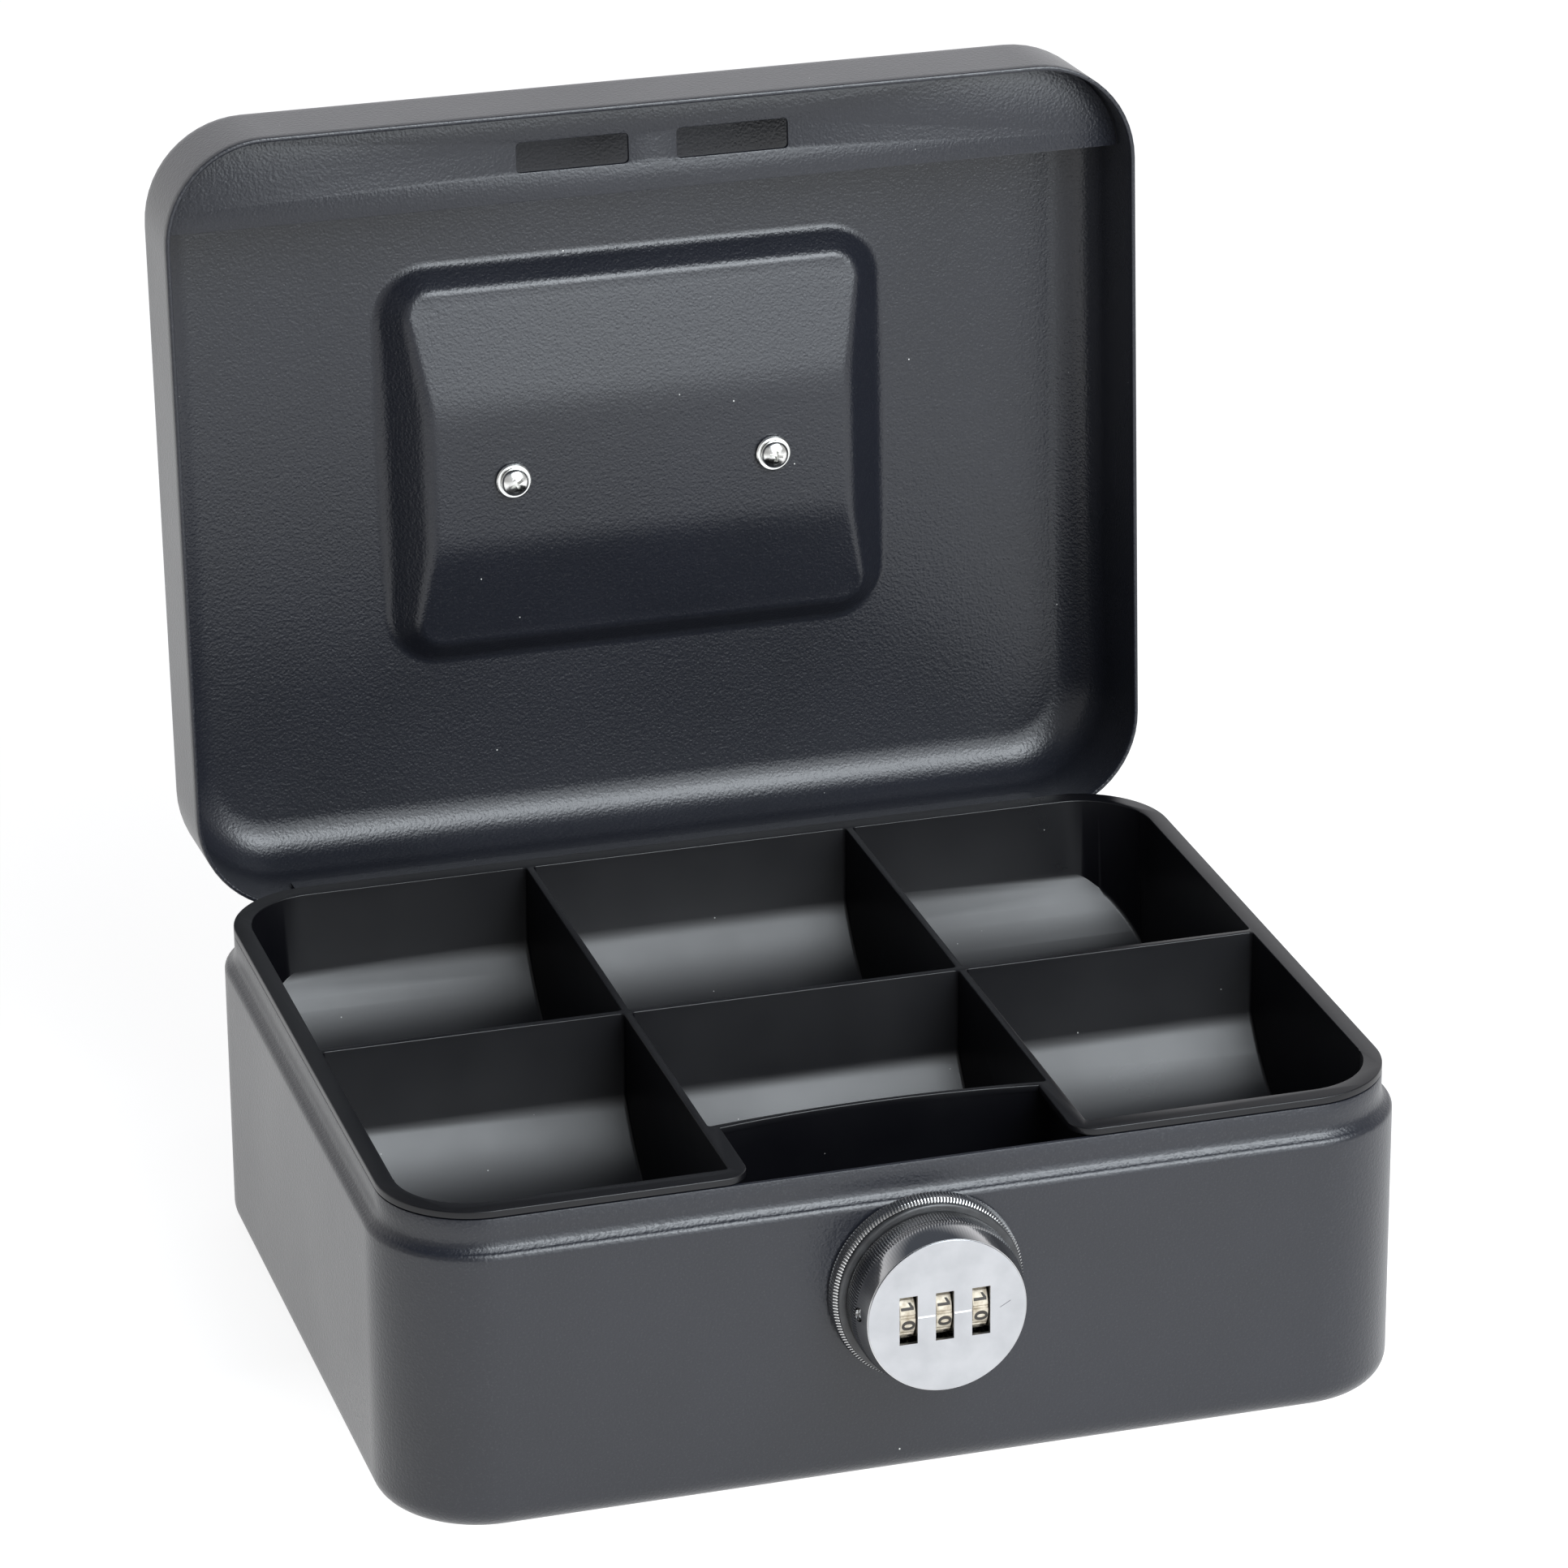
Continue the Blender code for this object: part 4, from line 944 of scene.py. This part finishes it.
def screw(name, x, seat_z, turn):
    """Pan head with a cross recess, one arm longer than the other, turned by so many degrees."""
    profile = []
    for angle in (math.radians(a) for a in range(4, 91, 8)):
        dome_z = seat_z - SCREW_BRIM_H - SCREW_DOME_H * math.cos(angle)
        profile.append((SCREW_HEAD_R * math.sin(angle), dome_z, 0.0))
    profile += [(SCREW_HEAD_R, seat_z, 0.0), (SCREW_R, seat_z, 0.0), (SCREW_R, seat_z + SCREW_LENGTH, 0.0)]
    made = lathe(name, profile, 64, centre=(x, POST[1]), axis="z")
    for angle, reach in zip((turn, turn + 90.0), SCREW_ARMS):
        wing = [(-reach, 0.0), (-0.35, 1.5), (0.35, 1.5), (reach, 0.0)]
        outline = [(u, seat_z - 2.05 + v * 0.9) for u, v in wing]
        cutter = prism("wing", outline, "y", -SCREW_ARM_HALF, SCREW_ARM_HALF)
        cutter.data.transform(Matrix.Rotation(math.radians(angle), 4, "Z"))
        cutter.data.transform(Matrix.Translation((x, POST[1], 0)))
        combine(made, cutter)
    return made


def handle_post(name, x, side, floor_z):
    """A block with round edges that stands on the recess floor and holds one end of the handle."""
    half_x, half_y = POST_HALF
    levels = [(0.25, floor_z + 0.3), (0.0, floor_z + 0.5)]
    levels += quarter(POST_EDGE_R, POST_EDGE_R, POST_EDGE_Z, 0, 75, 6)
    rings = []
    for inset, z in levels:
        outline = rounded(half_x - inset, inset - half_y, half_y - inset, POST_CORNER_R - inset, 12)
        rings.append([(x + u, POST[1] + v, z) for u, v in outline])
    post = loft(name, rings)
    low_x, high_x = sorted((x + side * 2.2, x + side * 6.5))
    combine(post, rod("eye", "x", (POST[1], BAIL_Z), POST_EYE_R, low_x, high_x))
    return combine(post, rod("tapped", "z", (x, POST[1]), SCREW_BORE_R, floor_z - 1, floor_z + 5.0))


def handle_washer(name, x, top_z):
    """The plain washer under a screw's head, on the inside of the lid."""
    washer = lathe(name, [
        (SCREW_WASHER_R - 0.1, top_z, 0.0), (SCREW_WASHER_R, top_z - 0.15, 0.0),
        (SCREW_WASHER_R, top_z - 0.55, 0.0), (SCREW_WASHER_R - 0.25, top_z - SCREW_WASHER_H, 0.0),
    ], 64, centre=(x, POST[1]), axis="z")
    return combine(washer, rod("bore", "z", (x, POST[1]), SCREW_BORE_R, top_z - 2, top_z + 1))


def handle_fixings():
    floor_z = LID_TOP_Z - RECESS_DEEP
    washer_z = floor_z - SHEET - SEAT_GAP
    for side, label, turn in ((-1, "left", -30.0), (1, "right", 10.0)):
        x = side * POST[0]
        post = handle_post("handle_post_" + label + "_skin", x, side, floor_z)
        show(post, CHROME, "lid", "handle_post_" + label, LID_OPEN)
        washer = handle_washer("handle_washer_" + label + "_skin", x, washer_z)
        show(washer, SCREW_ZINC, "lid", "handle_washer_" + label, LID_OPEN)
        seat_z = washer_z - SCREW_WASHER_H - SEAT_GAP
        head = screw("handle_screw_" + label + "_skin", x, seat_z, turn)
        show(head, SCREW_ZINC, "lid", "handle_screw_" + label, LID_OPEN)


def carry_handle():
    """A bail bent from rod, with a thinner pin at each end."""
    end_x, grip_y = POST[0] + POST_HALF[0], POST[1] + BAIL_REACH
    pin = [(-2.9, BAIL_PIN_R - 0.2), (-2.7, BAIL_PIN_R), (0.3, BAIL_PIN_R)]
    step = [(0.31, BAIL_ROD_R - 0.2), (0.5, BAIL_ROD_R)]
    half = [(end_x + x, POST[1], radius) for x, radius in pin + step]
    foot = (BAIL_ARM_X - BAIL_FOOT_R, POST[1] + BAIL_FOOT_R)
    half += [(x, y, BAIL_ROD_R) for x, y in arc(foot, BAIL_FOOT_R, -90, 0, 10)]
    corner = (BAIL_ARM_X - BAIL_BEND_R, grip_y - BAIL_BEND_R)
    half += [(x, y, BAIL_ROD_R) for x, y in arc(corner, BAIL_BEND_R, 0, 90, 16)]
    whole = half + [(-x, y, r) for x, y, r in reversed(half)]
    bail = sweep("carry_handle_skin", [(x, y, BAIL_Z) for x, y, _ in whole], [r for _, _, r in whole])
    show(bail, CHROME, "handle", "carry_handle", HANDLE_DOWN)


# ---- stage --------------------------------------------------------------------------------------

def pale_floor():
    """A floor that glows to look white, with painted light: a brighter pool just in front of the box that
    fades further out.
    """
    corners = [(x * FLOOR_HALF, y * FLOOR_HALF, FLOOR_Z) for x, y in ((-1, -1), (1, -1), (1, 1), (-1, 1))]
    floor = new_object("floor", corners, [(0, 1, 2, 3)])
    floor.data.transform(Matrix.Scale(MM, 4))
    made, tree, principled, at = shader("floor_pale", (0.3, 0.3, 0.3), 0.7)
    principled.inputs["Specular IOR Level"].default_value = 0.1
    principled.inputs["Emission Color"].default_value = (1.0, 1.0, 1.0, 1.0)
    parts = tree.nodes.new("ShaderNodeSeparateXYZ")
    tree.links.new(at, parts.inputs["Vector"])
    # Painted light: the glow grows into a pool just in front of the box and fades further out
    near = remap(tree, parts.outputs["Y"], *FLOOR_PAINTED_POOL_Y, FLOOR_PAINTED_POOL_GLOW, FLOOR_GLOW)
    away = remap(tree, parts.outputs["Y"], *FLOOR_PAINTED_FALLOFF_Y, FLOOR_PAINTED_FALLOFF, 1.0)
    tree.links.new(maths(tree, "MULTIPLY", near, away), principled.inputs["Emission Strength"])
    floor.data.materials.append(made)


def surroundings():
    """Bright all round behind the box, greyer in front of it and dark overhead."""
    world = bpy.data.worlds.new("studio")
    bpy.context.scene.world = world
    world.use_nodes = True
    tree = world.node_tree
    parts = tree.nodes.new("ShaderNodeSeparateXYZ")
    tree.links.new(tree.nodes.new("ShaderNodeTexCoord").outputs["Generated"], parts.inputs["Vector"])
    height = remap(tree, parts.outputs["Z"], 0.48, 0.84)
    sides = mix(tree, remap(tree, parts.outputs["Y"], 0.0, 0.6), (0.5, 0.5, 0.5), (1.0, 1.0, 1.03))
    walls = mix(tree, height, sides, (0.10, 0.11, 0.13))
    tree.links.new(walls, tree.nodes["Background"].inputs["Color"])
    tree.nodes["Background"].inputs["Strength"].default_value = WORLD_GLOW


def direction(azimuth, elevation):
    """Unit vector towards an azimuth to the right of the front and an elevation, in radians."""
    level = math.cos(elevation)
    return Vector((math.sin(azimuth) * level, -math.cos(azimuth) * level, math.sin(elevation)))


def softboxes():
    """Rectangular lamps that face the box."""
    for name, azimuth, elevation, distance, wide, tall, watts in SOFTBOXES:
        way = direction(math.radians(azimuth), math.radians(elevation))
        data = bpy.data.lights.new(name, "AREA")
        data.shape = "RECTANGLE"
        data.size = wide * MM
        data.size_y = tall * MM
        data.energy = watts
        data.color = LAMP_TINT
        lamp = bpy.data.objects.new(name, data)
        lamp.location = (Vector(LAMP_TARGET) + way * distance) * MM
        lamp.rotation_euler = way.to_track_quat("Z", "Y").to_euler()
        bpy.context.scene.collection.objects.link(lamp)


def camera():
    """A long lens from the front left, looking down."""
    azimuth, elevation, roll = (math.radians(a) for a in CAMERA_TURNS)
    back = direction(azimuth, elevation)
    right = Vector((0, 0, 1)).cross(back).normalized()
    up = back.cross(right)
    across = right * math.cos(roll) + up * math.sin(roll)
    above = up * math.cos(roll) - right * math.sin(roll)
    data = bpy.data.cameras.new("camera")
    data.sensor_width = CAMERA_SENSOR
    data.lens = CAMERA_LENS
    data.clip_start = 0.05
    data.clip_end = 20.0
    made = bpy.data.objects.new("camera", data)
    place = (Vector(CAMERA_TARGET) + back * CAMERA_DISTANCE) * MM
    made.matrix_world = Matrix((
        (across.x, above.x, back.x, place.x), (across.y, above.y, back.y, place.y),
        (across.z, above.z, back.z, place.z), (0, 0, 0, 1),
    ))
    bpy.context.scene.collection.objects.link(made)
    bpy.context.scene.camera = made


def plain_nodes():
    """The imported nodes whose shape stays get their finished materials."""
    looks = {
        "hinge_leaf_base": COAT, "hinge_leaf_lid": COAT, "hinge_pin": ZINC,
        "lock_washer": ZINC, "lock_nut": ZINC, "dial_axle": ZINC, "detent_spring": spring_steel(),
        "lock_spindle": ZINC, "hook_cam": ZINC, "cam_washer": ZINC, "cam_screw": ZINC, "side_bar": ZINC,
    }
    for name, look in looks.items():
        for place in NODES[name].material_slots:
            place.material = look


base_shell()
lid_shell()
strike_plate()
coin_tray()
lock_front()
knob()
face_plate()
dials()
handle_fixings()
carry_handle()
plain_nodes()
pale_floor()
surroundings()
softboxes()
camera()
bpy.context.scene.view_settings.view_transform = "Standard"

bpy.context.view_layer.update()
